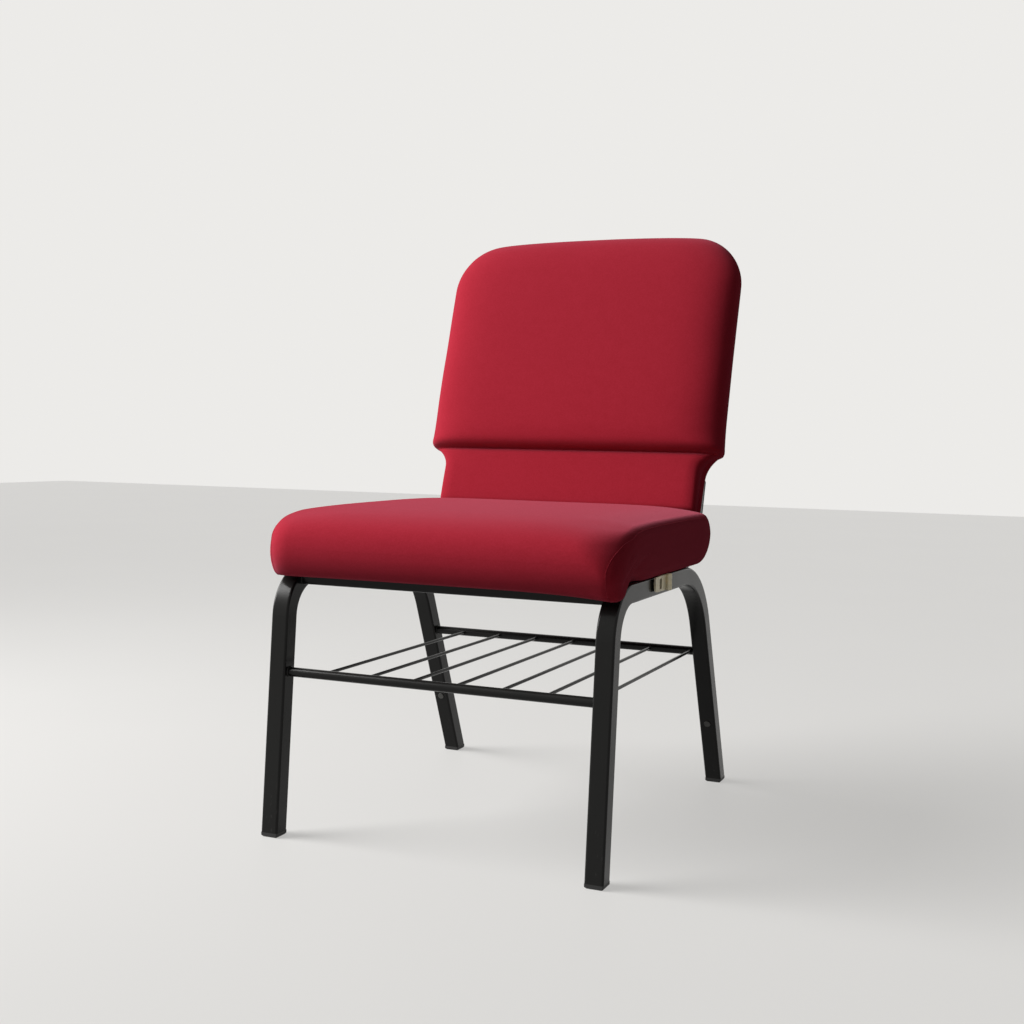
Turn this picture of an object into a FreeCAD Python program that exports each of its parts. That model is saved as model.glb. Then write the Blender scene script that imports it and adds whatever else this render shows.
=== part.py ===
import FreeCAD, Part
import math
import os
import re

import Sketcher

# Stacking conference chair: bent square tube frame, upholstered seat and back, book rack, gang link.
# X points to the sitter's left, the chair faces -Y, Z is up, and the origin is on the floor. Millimetres.

# Driving sizes: name, value, meaning
SIZES = (
    ("frame_width", 486, "outside width over the two leg frames"),
    ("tube", 25, "side of the square frame tube"),
    ("tube_wall", 1.5, "wall of the square frame tube"),
    ("tube_corner", 3, "outside corner radius of the square frame tube"),
    ("rail_z", 348.5, "height of the side rail's axis"),
    ("front_foot_back", 12.5, "front leg's axis at the floor, behind the seat's front"),
    ("front_rake", 0.075, "front leg's lean, forward travel per unit of height"),
    ("rear_foot_back", 124, "rear leg's axis at the floor, behind the seat's rear"),
    ("rear_rake", 0.45, "rear leg's lean, rearward travel per unit of height"),
    ("front_bend", 57.5, "axis radius of the bend from front leg to rail"),
    ("rear_bend", 137.5, "axis radius of the bend from rail to rear leg"),
    ("rail_gap", 4, "gap between the seat's front lip and the front cross rail"),
    ("rear_rail_ahead", 96.5, "rear cross rail's axis ahead of the seat's rear"),
    ("glide_height", 6, "part of a glide below its tube"),
    ("glide_chamfer", 2, "chamfer round a glide's sole"),
    ("glide_round", 1.5, "corner radius of a glide's sole"),
    ("glide_plug", 20, "depth of a glide's plug in its tube"),
    ("glide_gap", 0.2, "clearance round a glide's plug"),
    ("plug_z", 107, "height of the leg plug on the rear leg"),
    ("plug_hole", 7, "hole for the leg plug"),
    ("plug_head", 10, "head diameter of the leg plug"),
    ("plug_head_height", 1.2, "head thickness of the leg plug"),
    ("plug_gap", 0.1, "clearance round the leg plug's shank"),
    ("upright_width", 25, "back upright's width across the chair"),
    ("upright_depth", 16, "back upright's depth"),
    ("upright_wall", 1.5, "back upright's wall"),
    ("upright_bend", 110, "axis radius of the back upright's lower bend"),
    ("upright_short", 59.5, "back upright's top below the upper pad's top"),
    ("back_root_back", 15, "root of the leaning back at the rail's height, behind the seat's rear"),
    ("recline", 17.5, "lean of the back in degrees"),
    ("bar_depth", 16, "side of the square bars across the back"),
    ("bar_wall", 1.2, "wall of the bars across the back"),
    ("lower_bar_rise", 31, "lower bar's axis above the lower back's bottom"),
    ("top_bar_short", 30, "top bar's axis below the uprights' tops"),
    ("round_step", 0.3, "place of the slice within a rounding, as a share of its radius"),
    ("middle_step", 0.45, "place of the slice next to a middle, as a share of the length"),
    ("skin", 1.5, "thickness of the sewn covers"),
    ("seat_overhang", 7, "overhang of the seat past the leg frames"),
    ("seat_front_y", -316, "front of the seat"),
    ("seat_rear_y", 132, "rear of the seat"),
    ("seat_thickness", 76, "height of the seat at its sides"),
    ("seat_crown", 4, "rise of the seat's top at its middle"),
    ("seat_edge", 12, "rounding between the seat's top and its side panel"),
    ("seat_front_corner", 40, "plan rounding of the seat's front corners"),
    ("seat_rear_corner", 30, "plan rounding of the seat's rear corners"),
    ("lip_drop", 10, "drop of the front lip below the seat's underside"),
    ("lip_heel", 52, "lip's heel behind the seat's front"),
    ("lip_toe", 30, "lip's toe behind the seat's front"),
    ("lip_radius", 16, "rounding at the bottom of the front lip"),
    ("lip_ease", 6, "rounding of the lip's heel and toe"),
    ("nose_drop", 11, "fall of the seat's top towards the nose"),
    ("nose_radius", 42, "rounding of the seat's nose"),
    ("nose_reach", 162, "length of the seat's falling top"),
    ("nose_sweep", 1500, "rounding where the seat's top starts to fall"),
    ("rear_top_radius", 25, "rounding at the top of the seat's rear"),
    ("rear_under_radius", 46, "rounding under the seat's rear"),
    ("board_margin", 16, "seat board's distance from the seat's sides"),
    ("board_front", 54, "seat board's front edge behind the seat's front"),
    ("board_rear", 52, "seat board's rear edge ahead of the seat's rear"),
    ("board_thickness", 12, "thickness of the seat board"),
    ("board_corner", 30, "corner radius of the seat board"),
    ("dust_side", 63, "dust cover's distance from the frame's outside"),
    ("dust_margin", 15, "dust cover's distance from the cross rails"),
    ("seat_screw_x", 150, "seat screws' distance from the middle"),
    ("seat_screw", 6, "seat screw diameter"),
    ("seat_screw_head", 12, "seat screw head diameter"),
    ("seat_screw_head_height", 4, "seat screw head height"),
    ("screw_gap", 0.15, "radial clearance round a screw"),
    ("nut_barrel", 8, "tee nut barrel diameter"),
    ("nut_flange", 19, "tee nut flange diameter"),
    ("nut_flange_height", 1.6, "tee nut flange thickness"),
    ("nut_gap", 0.1, "radial clearance round a tee nut"),
    ("lower_bottom_u", 81, "bottom of the lower back, up the back"),
    ("lower_inset", 2.5, "lower back's sides inside the uprights' outer faces"),
    ("lower_thickness", 22.5, "thickness of the lower back's padding"),
    ("lower_crown", 1, "swell of the lower back's front"),
    ("lower_corner", 12, "front corner rounding of the lower back"),
    ("lower_rear_corner", 3, "rear corner rounding of the lower back"),
    ("lower_ease", 5, "rounding at the bottom of the lower back"),
    ("neck_flare", 21, "widening of the lower back where it flares to the upper pad"),
    ("neck_height", 34, "height of the flare below the crease"),
    ("wrap_swell", 3, "thickening of the neck wrap's rear towards the upper pad"),
    ("wrap_round", 5, "rear corner rounding of the neck wrap"),
    ("wrap_ease", 0.5, "front corner rounding of the neck wrap"),
    ("panel_gap", 0.5, "gap between the outer panel and the neck wrap"),
    ("crease_u", 174, "crease between lower back and upper pad, up the back"),
    ("pad_overhang", 27, "overhang of the upper pad past the uprights"),
    ("pad_top_u", 529.5, "top of the upper pad, up the back"),
    ("pad_front", 48, "upper pad's front, ahead of the uprights' axis"),
    ("pad_rear", 20.5, "upper pad's rear, behind the uprights' axis"),
    ("pad_corner", 80, "rounding of the upper pad's top corners"),
    ("pad_round", 30, "rounding of the upper pad's side edges"),
    ("pad_foot", 8, "rounding at the sides of the upper pad's bottom"),
    ("pad_crown", 4, "swell of the upper pad's front"),
    ("back_board_margin", 8, "back board's sides inside the uprights' outer faces"),
    ("back_board_short", 29.5, "back board's top below the upper pad's top"),
    ("back_board_thickness", 6, "thickness of the back board"),
    ("panel_thickness", 2, "thickness of the outer back panel"),
    ("back_screw_x", 120, "back screws' distance from the middle"),
    ("back_screw", 5, "back screw diameter"),
    ("back_screw_head", 10, "back screw head diameter"),
    ("back_screw_head_height", 3, "back screw head height"),
    ("rack_drop", 128, "rack bars' axes below the side rails"),
    ("rack_bar", 12.7, "rack bar diameter"),
    ("rack_wire", 4.5, "rack wire diameter"),
    ("rack_wire_count", 7, "number of rack wires"),
    ("rack_wire_right", 50.5, "first rack wire's distance from the right leg"),
    ("rack_wire_left", 5.4, "last rack wire's distance from the left leg"),
    ("link_back", 219, "gang link's hinge axis behind the seat's front"),
    ("link_lift", 3.5, "gang link's middle above the rail's axis"),
    ("link_length", 51, "gang link's reach from its hinge axis"),
    ("link_height", 20, "gang link's height"),
    ("link_plate", 2.5, "gang link's plate thickness"),
    ("link_corner", 9, "rounding of the gang link's lower free corner"),
    ("link_ease", 2, "rounding of the gang link's upper free corner"),
    ("link_slot_from", 24, "near edge of the gang link's slot from its hinge axis"),
    ("link_slot_width", 9, "width of the gang link's slot"),
    ("link_slot_margin", 3, "metal left above and below the gang link's slot"),
    ("knuckle", 9, "outside diameter of the hinge knuckles"),
    ("hinge_pin", 5, "hinge pin diameter"),
    ("hinge_fit", 0.05, "radial running clearance of the hinge pin"),
    ("hinge_gap", 0.3, "clearance between moving hinge faces"),
    ("hinge_share", 6.4, "height of the gang link's own knuckle"),
    ("pin_head", 7, "hinge pin head diameter"),
    ("pin_head_height", 1.2, "hinge pin head height"),
    ("bracket_plate", 2, "plate thickness of the hinge bracket and the hook"),
    ("bracket_length", 22, "hinge bracket's reach ahead of its axis"),
    ("rivet", 4, "rivet diameter"),
    ("rivet_first", 9, "first bracket rivet from the hinge axis"),
    ("rivet_pitch", 9, "distance between rivets"),
    ("rivet_gap", 0.05, "radial clearance round a rivet"),
    ("hook_length", 30, "length of the gang hook's base"),
    ("hook_reach", 9.3, "standoff of the gang hook's tongue"),
    ("hook_tongue", 14, "length of the gang hook's tongue"),
    ("hook_height", 11, "height of the gang hook's tongue"),
)

# Sizes that follow from the driving ones: name, formula, meaning
DERIVED = (
    ("seat_half", "frame_width / 2 + seat_overhang", "half width of the seat"),
    ("seat_top_z", "rail_z + tube / 2 + seat_thickness", "height of the seat's top at its sides"),
    ("board_half", "seat_half - board_margin", "half width of the seat board"),
    ("dust_half", "frame_width / 2 - dust_side", "half width of the dust cover"),
    ("front_foot_y", "seat_front_y + front_foot_back", "front leg's axis at the floor"),
    ("rear_foot_y", "seat_rear_y + rear_foot_back", "rear leg's axis at the floor"),
    ("front_rail_y", "seat_front_y + lip_heel + rail_gap + tube / 2", "front cross rail's axis"),
    ("rear_rail_y", "seat_rear_y - rear_rail_ahead", "rear cross rail's axis"),
    ("back_root_y", "seat_rear_y + back_root_back", "place where the leaning back meets the rail's height"),
    ("upright_top", "pad_top_u - upright_short", "top of the back upright, up the back"),
    ("lower_bar_u", "lower_bottom_u + lower_bar_rise", "lower bar's axis, up the back"),
    ("top_bar_u", "upright_top - top_bar_short", "top bar's axis, up the back"),
    ("lower_half", "frame_width / 2 - tube - lower_inset", "half width of the lower back"),
    ("pad_half", "frame_width / 2 - tube + pad_overhang", "half width of the upper pad"),
    ("back_board_half", "frame_width / 2 - tube - back_board_margin", "half width of the back board"),
    ("back_board_top", "pad_top_u - back_board_short", "top of the back board, up the back"),
    ("rack_z", "rail_z - rack_drop", "height of the rack bars' axes"),
    ("rack_wire_first", "tube - frame_width / 2 + rack_wire_right", "place of the first rack wire"),
    ("rack_wire_last", "frame_width / 2 - tube - rack_wire_left", "place of the last rack wire"),
    ("rack_wire_pitch", "(rack_wire_last - rack_wire_first) / (rack_wire_count - 1)", "rack wires' spacing"),
    ("link_axis_y", "seat_front_y + link_back", "gang link's hinge axis along the rail"),
    ("link_z", "rail_z + link_lift", "height of the gang link's middle"),
)

doc = FreeCAD.newDocument("stacking_chair")
sheet = doc.addObject("Spreadsheet::Sheet", "dims")
rows = [(alias, str(value), meaning) for alias, value, meaning in SIZES]
rows += [(alias, "=" + formula, meaning) for alias, formula, meaning in DERIVED]
for row, (alias, _, meaning) in enumerate(rows, start=1):
    sheet.set("A%d" % row, meaning)
    sheet.setAlias("B%d" % row, alias)
for row, (_, content, _) in enumerate(rows, start=1):
    sheet.set("B%d" % row, content)
doc.recompute()

ALIASES = {alias for alias, _, _ in rows}
WORD = re.compile(r"[a-z][a-z_0-9]*")

# Formulas that several pieces share
HALF_TUBE = "tube / 2"
SIDE_X = "(frame_width / 2 - tube / 2)"
INNER_X = "(frame_width / 2 - tube)"
RAIL_TOP = "(rail_z + tube / 2)"
RAIL_BOTTOM = "(rail_z - tube / 2)"
SEAT_INSIDE = "(rail_z + tube / 2 + skin)"
UPRIGHT_X = "(frame_width / 2 - tube - upright_width / 2)"
UPRIGHT_INNER = "(frame_width / 2 - tube - upright_width)"
BOARD_LOW = "(lower_bottom_u + 2 * lower_ease)"
BOARD_BACK = "(upright_depth / 2 + skin)"
BOARD_FRONT = "(upright_depth / 2 + skin + back_board_thickness)"
LOWER_FRONT = "(upright_depth / 2 + lower_thickness)"
PAD_THICKNESS = "(pad_front + pad_rear)"
LINK_X = "(frame_width / 2 + bracket_plate + knuckle / 2 + hinge_gap)"
LINK_LOW = "(link_z - link_height / 2)"
LINK_HIGH = "(link_z + link_height / 2)"
FRONT_BAR_Y = "(front_foot_y + front_rake * rack_z)"
REAR_BAR_Y = "(rear_foot_y - rear_rake * rack_z)"
HOOK_RIVET = "(rivet + link_plate - hook_tongue)"
HEAD_STEPS = (1, 0.5, 0.2, 0.05)
NECK_STEPS = ("1", "middle_step", "round_step / 2", "0")
LEFT, RIGHT = 1, -1


def ex(formula):
    """Point the size names of a formula at the sheet."""
    return WORD.sub(lambda m: "dims." + m.group() if m.group() in ALIASES else m.group(), str(formula))


def num(formula):
    """Value of a formula in size names."""
    value = sheet.evalExpression(ex(formula))
    return float(getattr(value, "Value", value))


def drawn(radius, distance):
    """Draw-in of a quarter round of the given radius at a distance from its outer end."""
    if num(distance) >= num(radius):
        return "0"
    return "(%s) * (1 - sqrt(1 - (1 - (%s) / (%s)) ^ 2))" % (radius, distance, radius)


def place(thing, x="0", y="0", z="0"):
    """Bind an object's place to formulas."""
    for axis, formula in (("x", x), ("y", y), ("z", z)):
        thing.setExpression("Placement.Base." + axis, ex(formula))


def new_body(label):
    """An empty body in the chair's frame."""
    body = doc.addObject("PartDesign::Body", label)
    body.Label = label
    return body


def back_body(label):
    """An empty body in the back's frame: Z up the back, Y to the rear, origin at the back's root."""
    body = new_body(label)
    body.Placement = FreeCAD.Placement(
        FreeCAD.Vector(), FreeCAD.Rotation(FreeCAD.Vector(-1, 0, 0), num("recline")))
    body.setExpression("Placement.Rotation.Angle", ex("recline"))
    place(body, y="back_root_y", z="rail_z")
    return body


def new_sketch(body, plane, x="0", y="0", height="0", tilt=None):
    """A sketch on one of the body's origin planes, shifted in it and above it, tilted about its X axis."""
    base = [o for o in body.Origin.OriginFeatures if o.Role == plane + "_Plane"][0]
    sketch = body.newObject("Sketcher::SketchObject", body.Label + "_sketch")
    sketch.AttachmentSupport = [(base, "")]
    sketch.MapMode = "FlatFace"
    if tilt:
        turn = FreeCAD.Rotation(FreeCAD.Vector(1, 0, 0), num(tilt))
        sketch.AttachmentOffset = FreeCAD.Placement(FreeCAD.Vector(), turn)
        sketch.setExpression("AttachmentOffset.Rotation.Angle", ex(tilt))
    for axis, formula in (("x", x), ("y", y), ("z", height)):
        sketch.setExpression("AttachmentOffset.Base." + axis, ex(formula))
    return sketch


def bind(sketch, kind, *where_and_formula):
    """Add a dimension to a sketch and bind it to a formula."""
    where, formula = where_and_formula[:-1], where_and_formula[-1]
    index = sketch.addConstraint(Sketcher.Constraint(kind, *where, num(formula)))
    sketch.setExpression("Constraints[%d]" % index, ex(formula))


def bind_point(sketch, geometry, position, x, y):
    """Hold a sketch point at formulas from the sketch's origin."""
    bind(sketch, "DistanceX", -1, 1, geometry, position, x)
    bind(sketch, "DistanceY", -1, 1, geometry, position, y)


def circle(sketch, x, y, diameter):
    """A circle bound to formulas."""
    centre = FreeCAD.Vector(num(x), num(y))
    index = sketch.addGeometry(Part.Circle(centre, FreeCAD.Vector(0, 0, 1), num(diameter) / 2))
    bind_point(sketch, index, 3, x, y)
    bind(sketch, "Diameter", index, diameter)


def outline(sketch, corners, closed=True):
    """Straight lines through corners (x, y, radius), each corner sharp or rounded by a tangent arc."""
    points = [FreeCAD.Vector(num(x), num(y)) for x, y, _ in corners]
    count = len(points)
    entry, leave, arcs = [None] * count, [None] * count, {}
    for i, (_, _, radius) in enumerate(corners):
        entry[i] = leave[i] = points[i]
        if radius is None:
            continue
        before = (points[i] - points[i - 1]).normalize()
        after = (points[(i + 1) % count] - points[i]).normalize()
        turn = math.atan2(before.x * after.y - before.y * after.x, before.dot(after))
        reach = num(radius) * math.tan(abs(turn) / 2)
        entry[i], leave[i] = points[i] - before * reach, points[i] + after * reach
        side = math.copysign(1, turn)
        centre = entry[i] + FreeCAD.Vector(-before.y, before.x) * (side * num(radius))
        arcs[i] = (centre, side)
    lines = {}
    for i in range(count if closed else count - 1):
        lines[i] = sketch.addGeometry(Part.LineSegment(leave[i], entry[(i + 1) % count]))
    for i, (x, y, radius) in enumerate(corners):
        before, after = lines.get(i - 1 if i else count - 1), lines.get(i)
        if radius is None:
            if before is not None and after is not None:
                sketch.addConstraint(Sketcher.Constraint("Coincident", before, 2, after, 1))
            bind_point(sketch, *((after, 1) if after is not None else (before, 2)), x, y)
            continue
        centre, side = arcs[i]
        ring = Part.Circle(centre, FreeCAD.Vector(0, 0, 1), num(radius))
        ends = [math.atan2(p.y - centre.y, p.x - centre.x) for p in (entry[i], leave[i])]
        arc = sketch.addGeometry(Part.ArcOfCircle(ring, *(ends if side > 0 else ends[::-1])))
        first, last = (1, 2) if side > 0 else (2, 1)
        corner = sketch.addGeometry(Part.Point(points[i]), True)
        bind_point(sketch, corner, 1, x, y)
        sketch.addConstraint(Sketcher.Constraint("PointOnObject", corner, 1, before))
        sketch.addConstraint(Sketcher.Constraint("PointOnObject", corner, 1, after))
        sketch.addConstraint(Sketcher.Constraint("Tangent", before, 2, arc, first))
        sketch.addConstraint(Sketcher.Constraint("Tangent", arc, last, after, 1))
        bind(sketch, "Radius", arc, radius)


def rectangle(sketch, x0, y0, x1, y1, radius=None):
    """A rectangle between two corners, with rounded corners if a radius is given."""
    outline(sketch, [(x0, y0, radius), (x1, y0, radius), (x1, y1, radius), (x0, y1, radius)])


def feature(body, kind, name):
    """A new feature of a body, after its sketches are solved."""
    doc.recompute()
    return body.newObject("PartDesign::" + kind, body.Label + "_" + name)


def pad(body, sketch, length, midplane=False, backward=False):
    """Raise a sketch by a length, along its normal, against it or half each way."""
    made = feature(body, "Pad", "pad")
    made.Profile = sketch
    made.setExpression("Length", ex(length))
    made.Midplane = midplane
    made.Reversed = backward
    doc.recompute()


def pocket(body, sketch, length, midplane=False, along=False):
    """Cut a sketch into a body, against its normal or along it, and make sure that it removed something."""
    doc.recompute()
    before = body.Shape.Volume
    made = feature(body, "Pocket", "pocket")
    made.Profile = sketch
    made.setExpression("Length", ex(length))
    made.Midplane = midplane
    made.Reversed = along
    doc.recompute()
    if body.Shape.Volume > before - 1e-3:
        raise RuntimeError("pocket in %s cuts nothing" % body.Label)


def pipe(body, profile, path):
    """Carry a profile along a path."""
    made = feature(body, "AdditivePipe", "pipe")
    made.Profile = profile
    made.Spine = (path, [])
    doc.recompute()


def loft(body, sections, kind="AdditiveLoft"):
    """Pass straight skins from section to section, added to the body or cut out of it."""
    made = feature(body, kind, "loft")
    made.Profile = sections[0]
    made.Sections = sections[1:]
    made.Ruled = True
    doc.recompute()


def group(label, members):
    """Several like solids as one named group."""
    made = doc.addObject("Part::Compound", label)
    made.Label = label
    made.Links = members
    doc.recompute()
    return made


def stud(name, diameter, length, head, head_height, x, y, z, axis, angle):
    """A headed stud: its shank runs from the head's seat at the given place along the turned Z axis."""
    turn = FreeCAD.Rotation(FreeCAD.Vector(*axis), num(angle))
    shank = doc.addObject("Part::Cylinder", name + "_shank")
    cap = doc.addObject("Part::Cylinder", name + "_head")
    for cylinder, wide, tall in ((shank, diameter, length), (cap, head, head_height)):
        cylinder.setExpression("Radius", ex("(%s) / 2" % wide))
        cylinder.setExpression("Height", ex(tall))
    cap.setExpression("Placement.Base.z", ex("0 - (%s)" % head_height))
    made = doc.addObject("Part::Fuse", name)
    made.Base, made.Tool = shank, cap
    made.Placement = FreeCAD.Placement(FreeCAD.Vector(), turn)
    made.setExpression("Placement.Rotation.Angle", ex(angle))
    place(made, x, y, z)
    return made


def square_tube(sketch, half, wall, corner, x="0", y="0"):
    """The hollow square section of a tube about a point."""
    for inset in ("0", wall):
        reach = "(%s - (%s))" % (half, inset)
        radius = "(%s) - (%s)" % (corner, inset)
        low, high = " - " + reach, " + " + reach
        rectangle(sketch, x + low, y + low, x + high, y + high, radius)


# Leg frames: front leg, side rail and rear leg in one bent tube, cut level above the glides
def leg_frame(label, side):
    """One bent leg frame on the given side, with the plug's hole in its rear leg."""
    body = new_body(label)
    x = "%d * %s" % (side, SIDE_X)
    spare = "tube"
    path = new_sketch(body, "YZ", height=x)
    outline(path, [
        ("front_foot_y - front_rake * %s" % spare, "0 - %s" % spare, None),
        ("front_foot_y + front_rake * rail_z", "rail_z", "front_bend"),
        ("rear_foot_y - rear_rake * rail_z", "rail_z", "rear_bend"),
        ("rear_foot_y + rear_rake * %s" % spare, "0 - %s" % spare, None),
    ], closed=False)
    section = new_sketch(
        body, "XY", x=x, y="front_foot_y - front_rake * %s" % spare, height="0 - %s" % spare,
        tilt="-atan(front_rake)")
    square_tube(section, HALF_TUBE, "tube_wall", "tube_corner")
    pipe(body, section, path)
    level = new_sketch(body, "XY", height="glide_height")
    beyond = "(3 * %s)" % spare
    rectangle(level, x + " - tube", "front_foot_y - " + beyond, x + " + tube", "rear_foot_y + " + beyond)
    pocket(body, level, beyond)
    behind = "0 - rear_foot_y + rear_rake * plug_z"
    hole = new_sketch(body, "XZ", x=x, y="plug_z", height=behind, tilt="atan(rear_rake)")
    circle(hole, "0", "0", "plug_hole")
    pocket(body, hole, "tube", along=True)
    return body


# Cross rails, with holes for the seat screws
def cross_rail(label, y):
    """A square tube between the leg frames at rail height."""
    body = new_body(label)
    section = new_sketch(body, "YZ")
    square_tube(section, HALF_TUBE, "tube_wall", "tube_corner", y, "rail_z")
    pad(body, section, "2 * %s" % INNER_X, midplane=True)
    for diameter, depth in (("seat_screw", "tube"), ("seat_screw_head", "tube_wall")):
        holes = new_sketch(body, "XY", height=RAIL_BOTTOM)
        for side in (LEFT, RIGHT):
            circle(holes, "%d * seat_screw_x" % side, y, diameter + " + 2 * screw_gap")
        pocket(body, holes, depth, along=True)
    return body


# Glides: a chamfered sole under each leg and a plug in its tube
def glide(label, side, foot_y, lean):
    """One plastic glide; lean is its leg's travel along Y per unit of height."""
    body = new_body(label)
    x = "%d * %s" % (side, SIDE_X)
    deep = "tube * sqrt(1 + (%s) ^ 2) / 2" % lean

    def slab(height, inset):
        """A level rectangle of the leg's footprint, drawn in by an inset."""
        sketch = new_sketch(body, "XY", height=height)
        at = "%s + (%s) * max(%s; glide_height)" % (foot_y, lean, height)
        wide, long = " %%s (tube / 2 - (%s))" % inset, " %%s (%s - (%s))" % (deep, inset)
        rectangle(sketch, x + wide % "-", at + long % "-", x + wide % "+", at + long % "+", "glide_round")
        return sketch

    loft(body, [slab("0", "glide_chamfer"), slab("glide_chamfer", "0")])
    pad(body, slab("glide_chamfer", "0"), "glide_height - glide_chamfer")
    inside = "tube_wall * sqrt(1 + (%s) ^ 2) + glide_gap" % lean
    loft(body, [slab("glide_height", inside), slab("glide_height + glide_plug", inside)])
    return body


# Plugs low on the front of the rear legs
def leg_plug(name, side):
    """One headed plug, square to the leg's front wall."""
    face_y = "rear_foot_y - rear_rake * plug_z - tube / 2 * cos(atan(rear_rake))"
    face_z = "plug_z - tube / 2 * sin(atan(rear_rake))"
    return stud(name, "plug_hole - 2 * plug_gap", "tube_wall", "plug_head", "plug_head_height",
                "%d * %s" % (side, SIDE_X), face_y, face_z, (-1, 0, 0), "90 deg - atan(rear_rake)")


# Back uprights: from the rear rail, along the side rail and up the back in one bend
def back_upright(label, side):
    """One bent upright inside its leg frame."""
    body = new_body(label)
    x = "%d * %s" % (side, UPRIGHT_X)
    start = "rear_rail_y + tube / 2"
    across, up = " + back_root_y", " + rail_z"
    path = new_sketch(body, "YZ", height=x)
    outline(path, [
        (start, "rail_z", None),
        ("back_root_y", "rail_z", "upright_bend"),
        ("upright_top * sin(recline)" + across, "upright_top * cos(recline)" + up, None),
    ], closed=False)
    section = new_sketch(body, "XZ", height="0 - (%s)" % start)
    for inset in ("0", "upright_wall"):
        wide, tall = "(upright_width / 2 - %s)" % inset, "(upright_depth / 2 - %s)" % inset
        rectangle(section, x + " - " + wide, "rail_z - " + tall, x + " + " + wide, "rail_z + " + tall,
                  "tube_corner - %s" % inset)
    pipe(body, section, path)
    return body


# Bars across the back, with holes for the back screws
def back_bar(label, height):
    """A square tube between the uprights at a height up the back."""
    body = back_body(label)
    section = new_sketch(body, "YZ")
    square_tube(section, "bar_depth / 2", "bar_wall", "tube_corner", "0", height)
    pad(body, section, "2 * %s" % UPRIGHT_INNER, midplane=True)
    holes = new_sketch(body, "XZ")
    screw_circles(holes, (height,), "back_screw + 2 * screw_gap")
    pocket(body, holes, "2 * bar_depth", midplane=True)
    return body


def screw_circles(sketch, heights, diameter):
    """Circles at the back screws' places at some heights up the back."""
    for height in heights:
        for side in (LEFT, RIGHT):
            circle(sketch, "%d * back_screw_x" % side, height, diameter)


# Seat: slices across the chair, drawn in towards the side panels and crowned in the middle
def seat_slice(body, side, distance, inset):
    """One upright slice of the seat at a distance from its side panel, inset for the padding."""
    x = "%d * (seat_half - %s - (%s))" % (side, inset, distance)
    edge = drawn("seat_edge", distance)
    front_in = "(%s + %s)" % (drawn("seat_front_corner", distance), inset)
    rear = "seat_rear_y - %s - %s" % (drawn("seat_rear_corner", distance), inset)
    crown = "seat_crown * (1 - ((seat_half - (%s)) / seat_half) ^ 2)" % distance
    top = "(seat_top_z + %s - %s - %s)" % (crown, edge, inset)
    base = "(%s + %s + %s)" % (RAIL_TOP, edge, inset)
    front = "seat_front_y + " + front_in
    sketch = new_sketch(body, "YZ", height=x)
    outline(sketch, [
        (front + " + lip_heel", base, "lip_ease"),
        (front + " + lip_toe", base + " - lip_drop", "lip_ease"),
        (front, base + " - lip_drop", "lip_radius"),
        (front, top + " - nose_drop", "nose_radius - " + edge),
        ("seat_front_y + nose_reach", top, "nose_sweep"),
        (rear, top, "rear_top_radius - " + edge),
        (rear, base, "rear_under_radius - " + edge),
    ])
    return sketch


def seat_slices(body, inset):
    """The seat's slices from its right side panel to its left one."""
    stations = ("0", "round_step * seat_edge", "seat_edge", "seat_front_corner", "middle_step * seat_half")
    right = [seat_slice(body, RIGHT, distance, inset) for distance in stations]
    left = [seat_slice(body, LEFT, distance, inset) for distance in reversed(stations)]
    return right + [seat_slice(body, LEFT, "seat_half - " + inset, inset)] + left


def seat_screw_circles(sketch, diameter):
    """Circles at the four seat screws' places."""
    for rail in ("front_rail_y", "rear_rail_y"):
        for side in (LEFT, RIGHT):
            circle(sketch, "%d * seat_screw_x" % side, rail, diameter)


def board_outline(sketch):
    """The seat board's plan."""
    rectangle(sketch, "0 - board_half", "seat_front_y + board_front",
              "board_half", "seat_rear_y - board_rear", "board_corner")


def dust_outline(sketch):
    """The dust cover's plan, between the cross rails."""
    edge = "tube / 2 + dust_margin"
    rectangle(sketch, "0 - dust_half", "front_rail_y + " + edge, "dust_half", "rear_rail_y - (%s)" % edge)


def seat_cover():
    """The seat's sewn cover, open below for the dust cover."""
    body = new_body("seat_cover")
    loft(body, seat_slices(body, "0"))
    loft(body, seat_slices(body, "skin"), "SubtractiveLoft")
    below = new_sketch(body, "XY", height=SEAT_INSIDE)
    dust_outline(below)
    pocket(body, below, "2 * skin")
    holes = new_sketch(body, "XY", height=SEAT_INSIDE)
    seat_screw_circles(holes, "nut_barrel")
    pocket(body, holes, "2 * skin")
    return body


def seat_foam():
    """The seat's foam, over and round the board."""
    body = new_body("seat_foam")
    loft(body, seat_slices(body, "skin"))
    recess = new_sketch(body, "XY", height=SEAT_INSIDE + " + board_thickness")
    board_outline(recess)
    pocket(body, recess, "2 * board_thickness")
    return body


def seat_board():
    """The plywood seat board with counterbored holes for the tee nuts."""
    body = new_body("seat_board")
    plan = new_sketch(body, "XY", height=SEAT_INSIDE)
    board_outline(plan)
    pad(body, plan, "board_thickness")
    for diameter, depth in (("nut_barrel", "board_thickness"), ("nut_flange", "nut_flange_height")):
        holes = new_sketch(body, "XY", height=SEAT_INSIDE + " + board_thickness")
        seat_screw_circles(holes, diameter + " + 2 * nut_gap")
        pocket(body, holes, depth)
    return body


def seat_dust_cover():
    """The cloth that closes the seat's underside."""
    body = new_body("seat_dust_cover")
    plan = new_sketch(body, "XY", height=RAIL_TOP)
    dust_outline(plan)
    pad(body, plan, "skin")
    return body


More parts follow.
